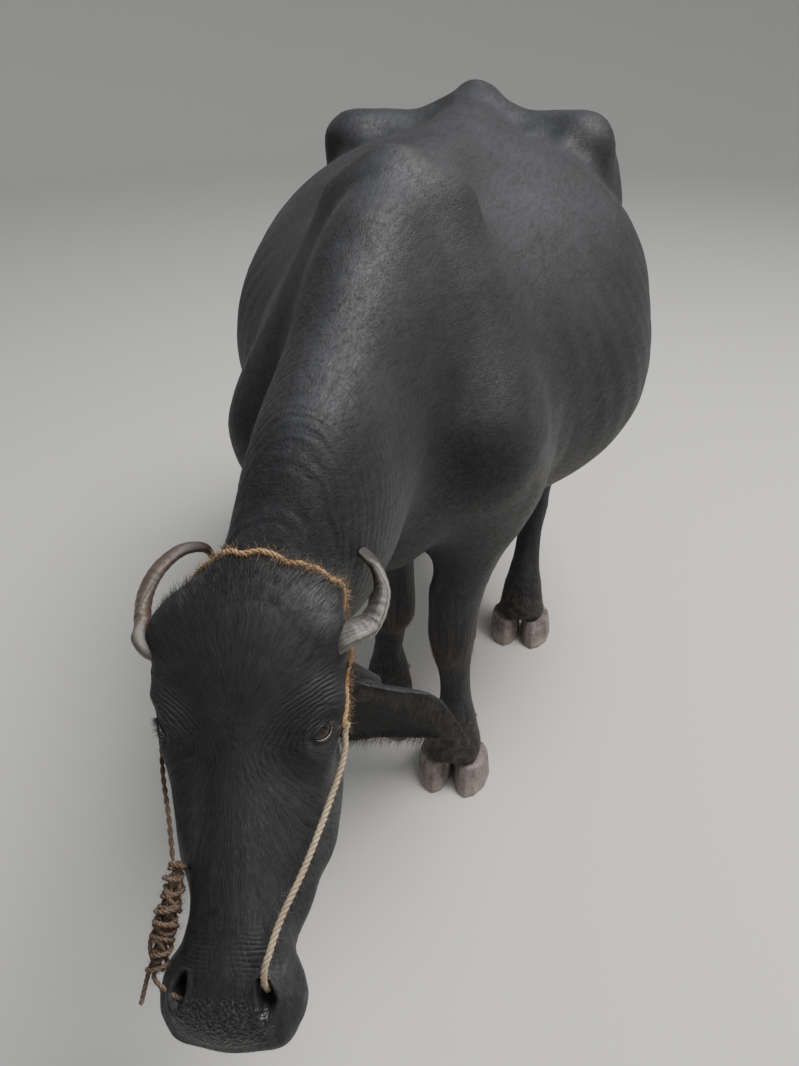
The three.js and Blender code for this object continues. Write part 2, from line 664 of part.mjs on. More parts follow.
// The switch is a core with flat locks hanging round it in tiers
function makeSwitch() {
  const top = minus(tail.path.at(-1), [0, 0, gap]);
  const core = sweep(
    [top, add(top, [-2, 0, -tailSwitch.length * 0.45]), add(top, [-4, 1, -tailSwitch.length])],
    4,
    8,
    (t) => [tailSwitch.radius * (0.75 + 0.5 * Math.sin(t * 2.6)), tailSwitch.radius * (0.75 + 0.4 * Math.sin(t * 2.6))],
    [1, 0, 0],
  );
  const random = seeded(7);
  const locks = Array.from({ length: tailSwitch.locks }, (_, n) => {
    const down = ((n + 0.5) / tailSwitch.locks) * tailSwitch.length * 0.8;
    const angle = n * 2.4;
    const way = [Math.cos(angle), Math.sin(angle), 0];
    const root = add(add(top, [-3, 0, -down - 6]), scaled(way, tailSwitch.radius * 0.6));
    const reach = tailSwitch.lockLength * (0.75 + 0.25 * random());
    const start = add(scaled(way, 0.3), [0, 0, -1]);
    return lock(root, start, [way[0] * -0.08, way[1] * -0.08, -1], reach, tailSwitch.lockHalfWidth, way);
  });
  return joinAll([core, ...locks]).subtract(halfSpace(top, [0, 0, 1]));
}

function makeUdder() {
  const bag = skinOf(udderDistance, [-110, 210, 460], [130, 500, 680], cells.udder);
  const teats = [[-32, 305], [52, 300], [-30, 400], [50, 400]].map(([x, y]) => sweep(
    [[x, y, 540], [x * 1.05, y, 495], [x * 1.1, y - 2, 447]],
    2,
    5,
    (t) => [17 - 8 * t, 17 - 8 * t],
    [1, 0, 0],
  ));
  return joinAll([bag, ...teats]);
}

// The halter: a coir rope behind the poll, a twisted cheek rope on each side and a knotted bundle
const ropePaths = {
  poll: [[-104, 96, -96], [-96, 30, -104], [-74, -2, -62], [-30, -16, -22], [20, -16, -18], [66, -2, -46],
    [98, 34, -96], [112, 78, -98], [110, 112, -78]],
  left: [[110, 118, -74], [112, 150, -68], [112, 196, -72], [98, 250, -62], [80, 310, -42], [62, 358, -22],
    [52, 390, -12]],
  right: [[-104, 104, -98], [-112, 160, -92], [-106, 215, -84], [-86, 268, -64], [-72, 312, -50]],
};
const knotPlace = { top: [-63, 316, -48], bottom: [-70, 420, -48], wraps: 3, radius: 12, rope: 5.5 };

function overSkin(path, radius) {
  return path.map(onHead).map((p) => {
    const room = fleshDistance(p) - radius - halter.clear;
    if (room > 0) return p;
    const away = worldAxes.map((axis) => fleshDistance(add(p, axis)) - fleshDistance(p));
    return add(p, scaled(unit(away), -room));
  });
}

function makeKnot() {
  const path = [knotPlace.top, mixed(knotPlace.top, knotPlace.bottom, 0.5), knotPlace.bottom];
  const [top, middle, bottom] = overSkin(path, knotPlace.radius * 0.6);
  const along = unit(minus(bottom, top));
  const out = unit(cross(along, headAxes[0]));
  const side = cross(along, out);
  const wraps = Array.from({ length: knotPlace.wraps }, (_, n) => {
    const centre = mixed(top, bottom, (n + 0.6) / (knotPlace.wraps + 0.4));
    const tilt = n % 2 ? 0.5 : -0.4;
    const rings = Array.from({ length: 8 }, (_unused, m) => {
      const angle = (m / 8) * Math.PI * 2;
      const way = add(scaled(out, Math.cos(angle)), scaled(side, Math.sin(angle)));
      const lift = scaled(along, Math.cos(angle) * tilt * knotPlace.radius);
      const hub = add(add(centre, lift), scaled(way, knotPlace.radius));
      return Array.from({ length: 5 }, (_other, k) => {
        const turn = (k / 5) * Math.PI * 2;
        const reach = add(scaled(way, Math.cos(turn)), scaled(along, Math.sin(turn)));
        return add(hub, scaled(reach, knotPlace.rope * 1.25));
      });
    });
    return hoop(rings);
  });
  const core = sweep([top, middle, bottom], 4, 6, () => [knotPlace.radius, knotPlace.radius], out);
  const end = rope([middle, add(bottom, headWay([-8, 0, 0])), add(bottom, headWay([-16, 34, 2]))], 5, 4);
  const cord = rope([bottom, add(bottom, headWay([2, 14, 6]))], 3.5, 3);
  return joinAll([core, ...wraps, end, cord]);
}

// A solid with a neighbour cut out of it, the neighbour also moved a little each given way
const solids = new Map();
function clearOf(solid, names, ...ways) {
  return names.reduce((rest, name) => {
    const other = solids.get(name);
    return [other, ...ways.map((way) => moved(other, way, gap))].reduce((a, b) => a.subtract(b), rest);
  }, solid);
}

// The nodes
const slots = new Map();
function keep(name, slot, solid) {
  solids.set(name, largest(solid));
  slots.set(name, slot);
}

const headCut = { point: onHead([0, -28, -15]), normal: headWay([0, 0.7, 0.71]) };
const neckCut = { point: [0, -610, 900], normal: [0, -0.97, -0.24] };
const legBlocks = {
  leg_fore_left: [[50, -640, coronetHeight], [330, -320, 500]],
  leg_fore_right: [[-330, -600, coronetHeight], [44, -170, 500]],
  leg_hind_left: [[110, 20, coronetHeight], [360, 520, 480]],
  leg_hind_right: [[-360, 330, coronetHeight], [-60, 780, 600]],
};

const headReach = 330;
const headMiddle = onHead([0, 230, -100]);
const headSkin = skinOf(
  fleshDistance,
  headMiddle.map((v) => v - headReach),
  headMiddle.map((v) => v + headReach),
  cells.head,
);
const wholeHead = headSkin.intersect(halfSpace(headCut.point, headCut.normal));
const head = lidsOn(lidsOn(mouthIn(nostrilsIn(largest(wholeHead))), 1), -1);
keep('head', 'hide', head);
keep('neck', 'hide', skinOf(fleshDistance, [-260, -1230, 560], [260, -520, 1360], cells.neck)
  .subtract(halfSpace(headCut.point, headCut.normal, -gap))
  .intersect(halfSpace(neckCut.point, neckCut.normal)));

let torso = skinOf(fleshDistance, [-520, -760, 60], [520, 860, 1380], cells.torso)
  .subtract(halfSpace(neckCut.point, neckCut.normal, -gap));
for (const [name, [low, high]] of Object.entries(legBlocks)) {
  const skin = skinOf(fleshDistance, add(low, [-60, -60, -60]), add(high, [60, 60, 60]), cells.leg);
  keep(name, 'hide', skin.intersect(block(low, high)));
  torso = torso.subtract(block(low, high, gap));
}
keep('torso', 'hide', torso);

for (const [side, s] of [['left', 1], ['right', -1]]) {
  const frame = eyeFrame(s);
  keep(`eye_${side}`, 'eye', lump(frame.centre, [1, 1, 1].map(() => eye.radius),
    [frame.long, frame.short, frame.gaze], 6));
  const hornWay = minus(onHead(hornPaths[`horn_${side}`][1]), onHead(hornPaths[`horn_${side}`][0]));
  keep(`horn_${side}`, 'horn', clearOf(makeHorn(`horn_${side}`), ['head', 'neck'], hornWay));
  const pose = earPoses[side];
  keep(`ear_${side}`, 'hide', clearOf(makeEar(s, pose), ['head', 'neck', `horn_${side}`], pose.along, [0, 0, -1]));
}

for (const [place, hoof] of Object.entries(hooves)) {
  for (const [name, side] of [['left', 1], ['right', -1]]) {
    keep(`claw_${place}_${name}`, 'hoof', makeClaw(hoof, side));
    const lean = place.startsWith('hind') ? 12 : 0;
    const away = [side * 0.15, 0.75, -0.65];
    keep(`dewclaw_${place}_${name}`, 'hoof', clearOf(makeDewclaw(hoof, side, lean), [`leg_${place}`], away));
  }
}

keep('tail', 'hide', clearOf(makeTail(), ['torso'], [0, 1, 0]));
keep('tail_switch', 'hair', makeSwitch());
const besideUdder = ['torso', 'leg_hind_left', 'leg_hind_right'];
keep('udder', 'hide', clearOf(makeUdder(), besideUdder, [0, 0, -1], [1, 0, 0], [-1, 0, 0]));

keep('halter_poll_rope', 'rope', clearOf(
  rope(overSkin(ropePaths.poll, halter.coirRadius), halter.coirRadius, 20),
  ['head', 'neck', 'horn_left', 'horn_right', 'ear_left', 'ear_right'],
));
keep('halter_knot', 'rope', clearOf(makeKnot(), ['head']));
keep('halter_left_rope', 'rope', clearOf(
  rope(overSkin(ropePaths.left, halter.ropeRadius), halter.ropeRadius, 20),
  ['head', 'ear_left', 'halter_poll_rope'],
));
keep('halter_right_rope', 'rope', clearOf(
  rope(overSkin(ropePaths.right, halter.ropeRadius), halter.ropeRadius, 14),
  ['head', 'ear_right', 'halter_poll_rope', 'halter_knot'],
));

const buffalo = new THREE.Group();
buffalo.position.set(...bodyShift);
for (const [name, solid] of solids) {
  const mesh = solid.getMesh();
  const geometry = new THREE.BufferGeometry();
  geometry.setAttribute('position', new THREE.BufferAttribute(mesh.vertProperties, 3));
  geometry.setIndex(new THREE.BufferAttribute(mesh.triVerts, 1));
  geometry.computeVertexNormals();
  const node = new THREE.Mesh(geometry, new THREE.MeshStandardMaterial(finishes[slots.get(name)]));
  node.name = name;
  buffalo.add(node);
}

export default buffalo;
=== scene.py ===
import math
import random

import bmesh
import bpy
import numpy as np
from mathutils import Matrix, Vector
from mathutils.bvhtree import BVHTree


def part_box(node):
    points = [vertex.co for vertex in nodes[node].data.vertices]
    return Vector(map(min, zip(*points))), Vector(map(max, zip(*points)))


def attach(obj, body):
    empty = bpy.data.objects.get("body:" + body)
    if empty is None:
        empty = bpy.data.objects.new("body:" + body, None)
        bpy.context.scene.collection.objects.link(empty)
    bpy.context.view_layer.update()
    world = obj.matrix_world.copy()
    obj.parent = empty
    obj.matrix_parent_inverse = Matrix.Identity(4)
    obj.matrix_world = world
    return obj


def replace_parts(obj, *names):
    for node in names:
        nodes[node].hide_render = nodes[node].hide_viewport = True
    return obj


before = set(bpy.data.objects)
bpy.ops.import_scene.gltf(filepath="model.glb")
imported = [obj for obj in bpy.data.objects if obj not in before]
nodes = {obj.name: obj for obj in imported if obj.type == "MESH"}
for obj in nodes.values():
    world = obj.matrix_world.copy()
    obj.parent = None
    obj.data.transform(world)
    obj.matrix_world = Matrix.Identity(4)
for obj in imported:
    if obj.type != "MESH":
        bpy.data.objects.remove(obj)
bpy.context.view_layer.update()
print("frame loaded")


# Small vector helpers, in metres
def vec(*values):
    return np.array(values, float)


worldUp = vec(0, 0, 1)


def unit(v):
    v = np.asarray(v, float)
    return v / np.maximum(np.linalg.norm(v, axis=-1, keepdims=True), 1e-9)


def ramp(x, low, high):
    t = np.clip((x - low) / (high - low), 0, 1)
    return t * t * (3 - 2 * t)


# The head's own frame: to her left, down the face from the poll, and out of the face, in millimetres
headPose = {"place": vec(-0.047, -0.810, 0.928), "turn": 9.2, "drop": 47.3, "roll": 7.1}


def headWays():
    turn, drop, roll = (math.radians(headPose[key]) for key in ("turn", "drop", "roll"))
    across = vec(math.cos(turn), math.sin(turn), 0)
    down = vec(math.cos(drop) * math.sin(turn), -math.cos(drop) * math.cos(turn), -math.sin(drop))
    out = vec(math.sin(drop) * math.sin(turn), -math.sin(drop) * math.cos(turn), math.cos(drop))
    left = across * math.cos(roll) + out * math.sin(roll)
    return np.array([left, down, out * math.cos(roll) - across * math.sin(roll)])


headAxes = headWays()
faceMiddle = vec(0, 235, -80)
softMiddle = vec(0, 230, -90)
padMiddle, padSize = vec(0, 462, -42), vec(62, 34, 44)


def headWay(v):
    return np.asarray(v, float) @ headAxes


def onHead(v):
    return headPose["place"] + headWay(v) / 1000


def hill(x, middle, width):
    return np.exp(-((x - middle) / width) ** 2)


def farFrom(points, place):
    return np.linalg.norm(points - place, axis=1)


def within(head, middle, outer, inner):
    return ramp(-farFrom(head, middle), -outer, -inner)


def inHead(points):
    return (points - headPose["place"]) @ headAxes.T * 1000


# Meshes
def placed(name, data):
    thing = bpy.data.objects.new(name, data)
    bpy.context.scene.collection.objects.link(thing)
    return thing


def meshFrom(name, points, faces):
    mesh = bpy.data.meshes.new(name)
    mesh.from_pydata([tuple(p) for p in points], [], faces)
    return mesh


def evaluated(holder):
    ready = holder.evaluated_get(bpy.context.evaluated_depsgraph_get())
    return bpy.data.meshes.new_from_object(ready)


def finishPiece(name, mesh, material):
    mesh.polygons.foreach_set("use_smooth", [True] * len(mesh.polygons))
    piece = placed(name, mesh)
    mesh.materials.append(material)
    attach(piece, "root")
    return piece


def readVectors(mesh, key):
    flat = np.zeros(len(mesh.vertices) * 3, np.float32)
    mesh.vertices.foreach_get(key, flat)
    return flat.reshape(-1, 3).astype(float)


def readPoints(mesh):
    return readVectors(mesh, "co")


def writePoints(mesh, points):
    mesh.vertices.foreach_set("co", points.astype(np.float32).ravel())
    mesh.update()


def readNormals(mesh):
    return readVectors(mesh, "normal")


def setVectors(mesh, name, vectors):
    layer = mesh.attributes.new(name, "FLOAT_VECTOR", "POINT")
    layer.data.foreach_set("vector", vectors.astype(np.float32).ravel())


def setMask(mesh, name, values):
    layer = mesh.attributes.new(name, "FLOAT", "POINT")
    layer.data.foreach_set("value", np.asarray(values, np.float32))


def ringFaces(rows, sides, closed=False):
    faces = []
    for row in range(rows if closed else rows - 1):
        here, ahead = row * sides, (row + 1) % rows * sides
        for n in range(sides):
            m = (n + 1) % sides
            faces.append((here + n, here + m, ahead + m, ahead + n))
    return faces


def joinedMesh(name, names):
    points, faces = [], []
    for node in names:
        mesh = nodes[node].data
        start = len(points)
        points += [tuple(v.co) for v in mesh.vertices]
        faces += [[start + i for i in polygon.vertices] for polygon in mesh.polygons]
    mesh = meshFrom(name, points, faces)
    return mesh


def remeshed(mesh, voxel):
    holder = placed("holder", mesh)
    modifier = holder.modifiers.new("Remesh", "REMESH")
    modifier.mode = "VOXEL"
    modifier.voxel_size = voxel
    made = evaluated(holder)
    bpy.data.objects.remove(holder)
    return made


smoothSteps = (0.55, -0.565)


def relax(mesh, rounds, weights=1.0):
    edges = np.zeros(len(mesh.edges) * 2, np.int32)
    mesh.edges.foreach_get("vertices", edges)
    a, b = edges.reshape(-1, 2).T
    points = readPoints(mesh)
    count = np.bincount(a, minlength=len(points)) + np.bincount(b, minlength=len(points))
    weights = np.broadcast_to(weights, len(points))[:, None]
    for turn in range(rounds * 2):
        total = np.zeros_like(points)
        for axis in range(3):
            total[:, axis] = np.bincount(a, points[b, axis], len(points))
            total[:, axis] += np.bincount(b, points[a, axis], len(points))
        step = total / count[:, None] - points
        points += step * weights * smoothSteps[turn % 2]
    writePoints(mesh, points)


def subdivided(mesh, chosen):
    shape = bmesh.new()
    shape.from_mesh(mesh)
    shape.verts.ensure_lookup_table()
    edges = [e for e in shape.edges if chosen[e.verts[0].index] and chosen[e.verts[1].index]]
    bmesh.ops.subdivide_edges(shape, edges=edges, cuts=1, use_grid_fill=True)
    shape.to_mesh(mesh)
    shape.free()


def alongPath(points, path):
    best = np.full(len(points), 1e9)
    place = np.zeros(len(points))
    path = np.asarray(path, float)
    lengths = np.linalg.norm(np.diff(path, axis=0), axis=1)
    total = lengths.sum()
    gone = 0.0
    for a, b, length in zip(path[:-1], path[1:], lengths):
        t = np.clip((points - a) @ (b - a) / length ** 2, 0, 1)
        away = np.linalg.norm(points - a - t[:, None] * (b - a), axis=1)
        nearer = away < best
        best = np.where(nearer, away, best)
        place = np.where(nearer, (gone + t * length) / total, place)
        gone += length
    return best, place


def fold(points, path, width, height, fade=0.15):
    away, place = alongPath(points, path)
    ends = ramp(place, 0, fade) * ramp(1 - place, 0, fade) if fade else 1
    return height * np.exp(-(away / width) ** 2) * ends


# Where the eyes sit and how the lids open, in the head's millimetres
eyeLook = {"centre": vec(80, 168, -58), "radius": 20.0, "gaze": vec(0.78, 0.1, 0.62),
           "slant": vec(0.72, -0.68, -0.35), "length": 17.0, "height": 9.5, "upper": 0.5, "lower": 0.85,
           "lid": 2.6}


def eyeWays(side):
    mirror = vec(side, 1, 1)
    gaze = unit(eyeLook["gaze"] * mirror)
    slant = eyeLook["slant"] * mirror
    long = unit(slant - gaze * (slant @ gaze))
    short = unit(np.cross(gaze, long))
    if short @ vec(0, -1, 0) < 0:
        short = -short
    return eyeLook["centre"] * mirror, gaze, long, short


def slitDistance(a, b):
    length, height = eyeLook["length"], eyeLook["height"]
    inner = np.clip(1 - (a / length) ** 2, 0, 1) ** 0.8
    half = np.where(b > 0, height * eyeLook["upper"], height * eyeLook["lower"]) * inner
    return np.where(np.abs(a) < length, np.abs(b) - half, np.hypot(np.abs(a) - length, b))


def eyeRings(head):
    rings, brow = np.zeros(len(head)), np.zeros(len(head))
    for side in (1, -1):
        centre, gaze, long, short = eyeWays(side)
        reach = head - centre
        a, b = reach @ long, reach @ short
        away = np.hypot(a * 0.75, b * 1.1 + 6)
        amount = ramp(b - 0.1 * a, -4, 22) * ramp(away, 15, 26) * ramp(-away, -82, -48)
        rings = np.where(amount > brow, away, rings)
        brow = np.maximum(brow, amount)
    return rings, brow


def shapeEye(head, side):
    centre, gaze, long, short = eyeWays(side)
    reach = head - centre
    far = np.linalg.norm(reach, axis=1)
    way = reach / far[:, None]
    front = np.maximum(way @ gaze, 0.05)
    scale = eyeLook["radius"] / front
    a, b = (way @ long) * scale, (way @ short) * scale
    away = slitDistance(a, b)
    near = (far < 70) & (way @ gaze > 0.2)
    lid = eyeLook["radius"] + eyeLook["lid"]
    hold = np.exp(-(np.maximum(away, 0) / 12) ** 2)
    radius = far + (lid - far) * hold
    radius += np.where(b > 0, -1.8, -1.1) * hill(away, 8, 2.2) * hold ** 0.3
    radius = np.where(away < 0.6, eyeLook["radius"] - 2.5, radius)
    radius += 0.9 * hill(away, 2.2, 1.3)
    for space, depth in ((9, 1.2), (17, 1.5)):
        upper = ramp(b - 0.25 * a, 0, 14)
        radius += upper * depth * hill(away, space, 3.2)
    return np.where(near[:, None], centre + way * radius[:, None], head)


# Nostrils, mouth and the folds of the face, in the head's millimetres
faceLook = {"nostrilDepth": 26.0, "mouthDepth": 8.0, "wrinkle": 1.7, "jaw": 27.0, "bridge": 6.0,
            "temple_left": 4.0, "temple_right": 11.0, "corner": 6.0}
nostrilPath = [(43, 424, -26), (47, 442, -32), (44, 460, -40), (35, 468, -44)]
mouthPath = [(58, 388, -108), (60, 430, -102), (50, 470, -98), (28, 494, -96), (0, 502, -95)]
muzzleFolds = [
    [(50, 384, -14), (49, 402, -14), (48, 424, -22)],
    [(66, 380, -50), (58, 398, -20), (34, 412, -6)],
    [(72, 398, -56), (62, 413, -24), (38, 424, -12)],
    [(70, 356, -50), (58, 372, -18), (30, 384, -2)],
    [(60, 452, -60), (66, 425, -70), (60, 400, -80)],
]
noseEdge = [(34, 424, -14), (16, 428, -10), (0, 430, -9)]


def mirrored(path, side):
    return [(side * u, v, w) for u, v, w in path]


faceSpots = {"cheek": ((354, 58), (-122, 42)), "bridge": ((392, 26), (-45, 40)),
             "temple": ((74, 26), (30, 32), (-62, 38)), "corner": ((48, 20), (482, 20), (-66, 34))}


def faceSpot(name, *ways):
    return np.prod([hill(x, *spot) for x, spot in zip(ways, faceSpots[name])], axis=0)


def shapeFace(head, normals):
    for side in (1, -1):
        head = shapeEye(head, side)
        deep = unit(vec(-side * 0.25, -0.3, -1))
        u, v, w = head.T * vec(side, 1, 1)[:, None]
        cheek = faceSpot("cheek", v, w) * ramp(u, 8, 34)
        bridge = faceSpot("bridge", v, w) * ramp(u, 8, 34)
        head = head + vec(side, 0, 0) * (faceLook["jaw"] * cheek + faceLook["bridge"] * bridge)[:, None]
        u, v, w = head.T * vec(side, 1, 1)[:, None]
        temple = faceSpot("temple", u, v, w)
        corner = faceSpot("corner", u, v, w)
        head = head + normals * (faceLook["temple_left" if side > 0 else "temple_right"] * temple)[:, None]
        head = head + vec(side, 0.8, 0) * (faceLook["corner"] * corner)[:, None]
        away, place = alongPath(head, mirrored(nostrilPath, side))
        wide = 3.0 + 6.0 * np.sin(np.clip(place, 0.05, 1) * math.pi) ** 0.8
        head = head + deep * (faceLook["nostrilDepth"] * (1 - ramp(away - wide, -3.0, 2.5)))[:, None]
        head = head + normals * (2.4 * np.exp(-((away - wide - 4) / 3) ** 2))[:, None]
        lips = fold(head, mirrored(mouthPath, side), 4.5, -faceLook["mouthDepth"], 0)
        creases = sum(fold(head, mirrored(path, side), 2.6, -faceLook["wrinkle"]) for path in muzzleFolds)
        creases += sum(fold(head, mirrored([(u, v + 6, w) for u, v, w in path], side), 3.5, 0.8)
                       for path in muzzleFolds)
        creases += fold(head, mirrored(noseEdge, side), 1.8, -1.2, 0.05)
        head = head + normals * (lips + creases)[:, None]
    return head


# The skin: one surface over head, neck, trunk, legs, tail and udder
skinLook = {"voxel": 0.0115, "bodyRounds": 60, "headRounds": 14, "rib": 0.0007, "spine": 0.0024,
            "crest": 0.0012, "spineSpace": 0.058, "ribSpace": 0.062, "crestSpace": 0.034, "coatDepth": 0.0012}
fleshNodes = ["head", "neck", "torso", "udder", "tail", "eye_left", "eye_right",
              "leg_fore_left", "leg_fore_right", "leg_hind_left", "leg_hind_right"]


def shapeBody(points, normals):
    x, y, z = points.T
    onTop = ramp(normals[:, 2], 0.3, 0.9)
    along = np.clip((y + 0.25) / 1.1, 0, 1)
    bumps = hill(x, 0, 0.035) * onTop * (y > -0.25) * (y < 0.95)
    lift = skinLook["spine"] * bumps * np.cos(y / skinLook["spineSpace"] * 2 * math.pi) * (1 - 0.6 * along)
    flank = ramp(np.abs(x), 0.2, 0.34) * ramp(y, -0.16, -0.02) * ramp(-y, -0.62, -0.45)
    flank *= ramp(z, 0.62, 0.74) * ramp(-z, -1.12, -0.98)
    lift += skinLook["rib"] * flank * np.sin((y + 0.22 * z) / skinLook["ribSpace"] * 2 * math.pi)
    neck = ramp(-y, 0.34, 0.42) * ramp(z, 0.80, 0.95)
    sway = 0.006 * np.sin(x * 47) + 0.012 * np.sin(y * 31) + 0.005 * np.sin(y * 77 + x * 20)
    wave = np.sin((y + 0.35 * np.abs(x) + sway) / skinLook["crestSpace"] * 2 * math.pi)
    lift -= skinLook["crest"] * neck * hill(x, 0, 0.12) * np.maximum(wave, 0) ** 3
    return points + normals * lift[:, None]


def makeSkin(material):
    mesh = remeshed(joinedMesh("buffalo_skin", fleshNodes), skinLook["voxel"])
    head = inHead(readPoints(mesh))
    face = ramp(head[:, 1], -40, 20) * within(head, softMiddle, 340, 300)
    relax(mesh, skinLook["bodyRounds"], 1 - 0.75 * face)
    relax(mesh, skinLook["headRounds"], face)
    print("skin remeshed", len(mesh.vertices))
    for reach, middle in ((330, faceMiddle), (75, None), (42, None)):
        head = inHead(readPoints(mesh))
        if middle is not None:
            chosen = farFrom(head, middle) < reach
        else:
            chosen = np.zeros(len(head), bool)
            for side in (1, -1):
                chosen |= farFrom(head, eyeLook["centre"] * vec(side, 1, 1)) < reach
                if reach > 50:
                    chosen |= farFrom(head, vec(side * 42, 440, -50)) < reach
        subdivided(mesh, chosen)
        head = inHead(readPoints(mesh))
        relax(mesh, 3, ramp(head[:, 1], -60, 0) * within(head, softMiddle, 330, 290))
    print("skin subdivided", len(mesh.vertices))
    normals = readNormals(mesh)
    points = readPoints(mesh)
    points = shapeBody(points, normals) - normals * skinLook["coatDepth"]
    head = inHead(points)
    onFace = ramp(head[:, 1], 0, 40) * within(head, faceMiddle, 330, 300)
    shaped = shapeFace(head, normals @ headAxes.T)
    points = points + (onHead(shaped) - onHead(head)) * onFace[:, None]
    writePoints(mesh, points)
    x, y, z = points.T
    nose = np.linalg.norm((head - padMiddle) / padSize, axis=1)
    rings, brow = eyeRings(head)
    whorl = ramp(np.hypot(head[:, 0] - combLook["whorl"][0], head[:, 1] - combLook["whorl"][1]), 6, 34)
    pleat = hill(head[:, 1], 396, 20) * hill(np.abs(head[:, 0]), 38, 22) * ramp(head[:, 2], -60, -20)
    setMask(mesh, "face", onFace * whorl)
    setMask(mesh, "rings", rings)
    setMask(mesh, "brow", brow)
    setMask(mesh, "pleat", pleat)
    setMask(mesh, "pad", head[:, 1])
    setMask(mesh, "moist", 1 - ramp(nose, 0.8, 1.0))
    setMask(mesh, "nape", ramp(-y, 0.40, 0.56) * ramp(y, -0.86, -0.80) * ramp(z, 0.72, 0.90) * (1 - onFace))
    setMask(mesh, "leg", ramp(-z, -0.62, -0.45))
    setMask(mesh, "dust", ramp(-z, -0.30, -0.05))
    brown = hill(z, 0.365, 0.035) * (y < 0.1) + ramp(-z, -0.68, -0.52) * (y > 0) * (z > 0.48)
    setMask(mesh, "brown", np.clip(brown, 0, 1))
    skin = finishPiece("buffalo_skin", mesh, material)
    for node in fleshNodes[:5] + fleshNodes[7:]:
        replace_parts(skin, node)
    print("skin shaped", len(mesh.polygons))
    return skin


# Materials
def newMaterial(name, **values):
    material = bpy.data.materials.new(name)
    material.use_nodes = True
    tree = material.node_tree
    shader = tree.nodes["Principled BSDF"]
    wire(shader, **values)
    return material, tree, shader


def setInputs(tree, node, values):
    for key, value in values.items():
        if isinstance(value, bpy.types.NodeSocket):
            tree.links.new(value, node.inputs[key])
        else:
            node.inputs[key].default_value = value


def wire(shader, **values):
    setInputs(shader.id_data, shader, {key.replace("_", " "): value for key, value in values.items()})


def addNode(tree, kind, inputs=None, **settings):
    node = tree.nodes.new(kind)
    for key, value in settings.items():
        setattr(node, key, value)
    setInputs(tree, node, inputs or {})
    return node


def result(tree, kind, inputs=None, **settings):
    return addNode(tree, kind, inputs, **settings).outputs[0]


def maskOf(tree, name):
    return addNode(tree, "ShaderNodeAttribute", attribute_name=name).outputs["Fac"]


def objectPlace(tree):
    return addNode(tree, "ShaderNodeTexCoord").outputs["Object"]


def calc(tree, operation, a, b=0.0, clamp=False):
    return result(tree, "ShaderNodeMath", {0: a, 1: b}, operation=operation, use_clamp=clamp)


def times(tree, a, b):
    return calc(tree, "MULTIPLY", a, b)


def plus(tree, a, b):
    return calc(tree, "ADD", a, b)


def vectorCalc(tree, operation, a, b):
    return result(tree, "ShaderNodeVectorMath", {0: a, 1: b}, operation=operation)


def scaled(tree, vector, size):
    return result(tree, "ShaderNodeVectorMath", {0: vector, 3: size}, operation="SCALE")


def mixColor(tree, factor, a, b):
    return addNode(tree, "ShaderNodeMix", {0: factor, 6: a, 7: b}, data_type="RGBA").outputs[2]


def rampNode(tree, value, stops):
    node = addNode(tree, "ShaderNodeValToRGB", {"Fac": value})
    while len(node.color_ramp.elements) < len(stops):
        node.color_ramp.elements.new(0.5)
    for element, (place, color) in zip(node.color_ramp.elements, stops):
        element.position = place
        element.color = color if isinstance(color, tuple) else (color, color, color, 1)
    return node.outputs["Color"]


def fade(tree, value, low, high, first=0.0, last=1.0):
    return rampNode(tree, value, ((low, first), (high, last)))


def noise(tree, where, scale, detail=3.0, rough=0.55):
    return addNode(tree, "ShaderNodeTexNoise",
                   {"Vector": where, "Scale": scale, "Detail": detail, "Roughness": rough}).outputs["Fac"]


# Effects that several materials share, as node groups
def shaderGroup(name, inputs, output, kind):
    tree = bpy.data.node_groups.new(name, "ShaderNodeTree")
    for socket, socketKind in inputs.items():
        tree.interface.new_socket(socket, in_out="INPUT", socket_type="NodeSocket" + socketKind)
    tree.interface.new_socket(output, in_out="OUTPUT", socket_type="NodeSocket" + kind)
    return tree, tree.nodes.new("NodeGroupInput").outputs, tree.nodes.new("NodeGroupOutput").inputs[0]


def strandGroup():
    tree, given, out = shaderGroup("strandNoise", {"Vector": "Vector"}, "Strands", "Float")
    fine = noise(tree, given["Vector"], 430.0, 2.0)
    broad = noise(tree, given["Vector"], 120.0, 3.0)
    tree.links.new(plus(tree, times(tree, fine, 0.55), times(tree, broad, 0.45)), out)
    return tree


def speckleGroup():
    floats = dict.fromkeys(("Scale", "Detail", "Roughness", "Low", "High"), "Float")
    tree, given, out = shaderGroup("speckle", {"Vector": "Vector", **floats}, "Mask", "Float")
    tone = noise(tree, given["Vector"], given["Scale"], given["Detail"], given["Roughness"])
    span = {"Value": tone, "From Min": given["Low"], "From Max": given["High"]}
    tree.links.new(result(tree, "ShaderNodeMapRange", span), out)
    return tree


def reliefGroup():
    floats = dict.fromkeys(("Height", "Depth", "Strength"), "Float")
    tree, given, out = shaderGroup("relief", floats, "Normal", "Vector")
    bump = {"Height": given["Height"], "Distance": given["Depth"], "Strength": given["Strength"]}
    tree.links.new(result(tree, "ShaderNodeBump", bump), out)
    return tree


shared = {"strands": strandGroup(), "speckle": speckleGroup(), "relief": reliefGroup()}


def useShared(tree, name, **values):
    return result(tree, "ShaderNodeGroup", values, node_tree=shared[name])


def speckle(tree, where, scale, detail, rough, low, high):
    return useShared(tree, "speckle", Vector=where, Scale=scale, Detail=detail, Roughness=rough, Low=low,
                     High=high)


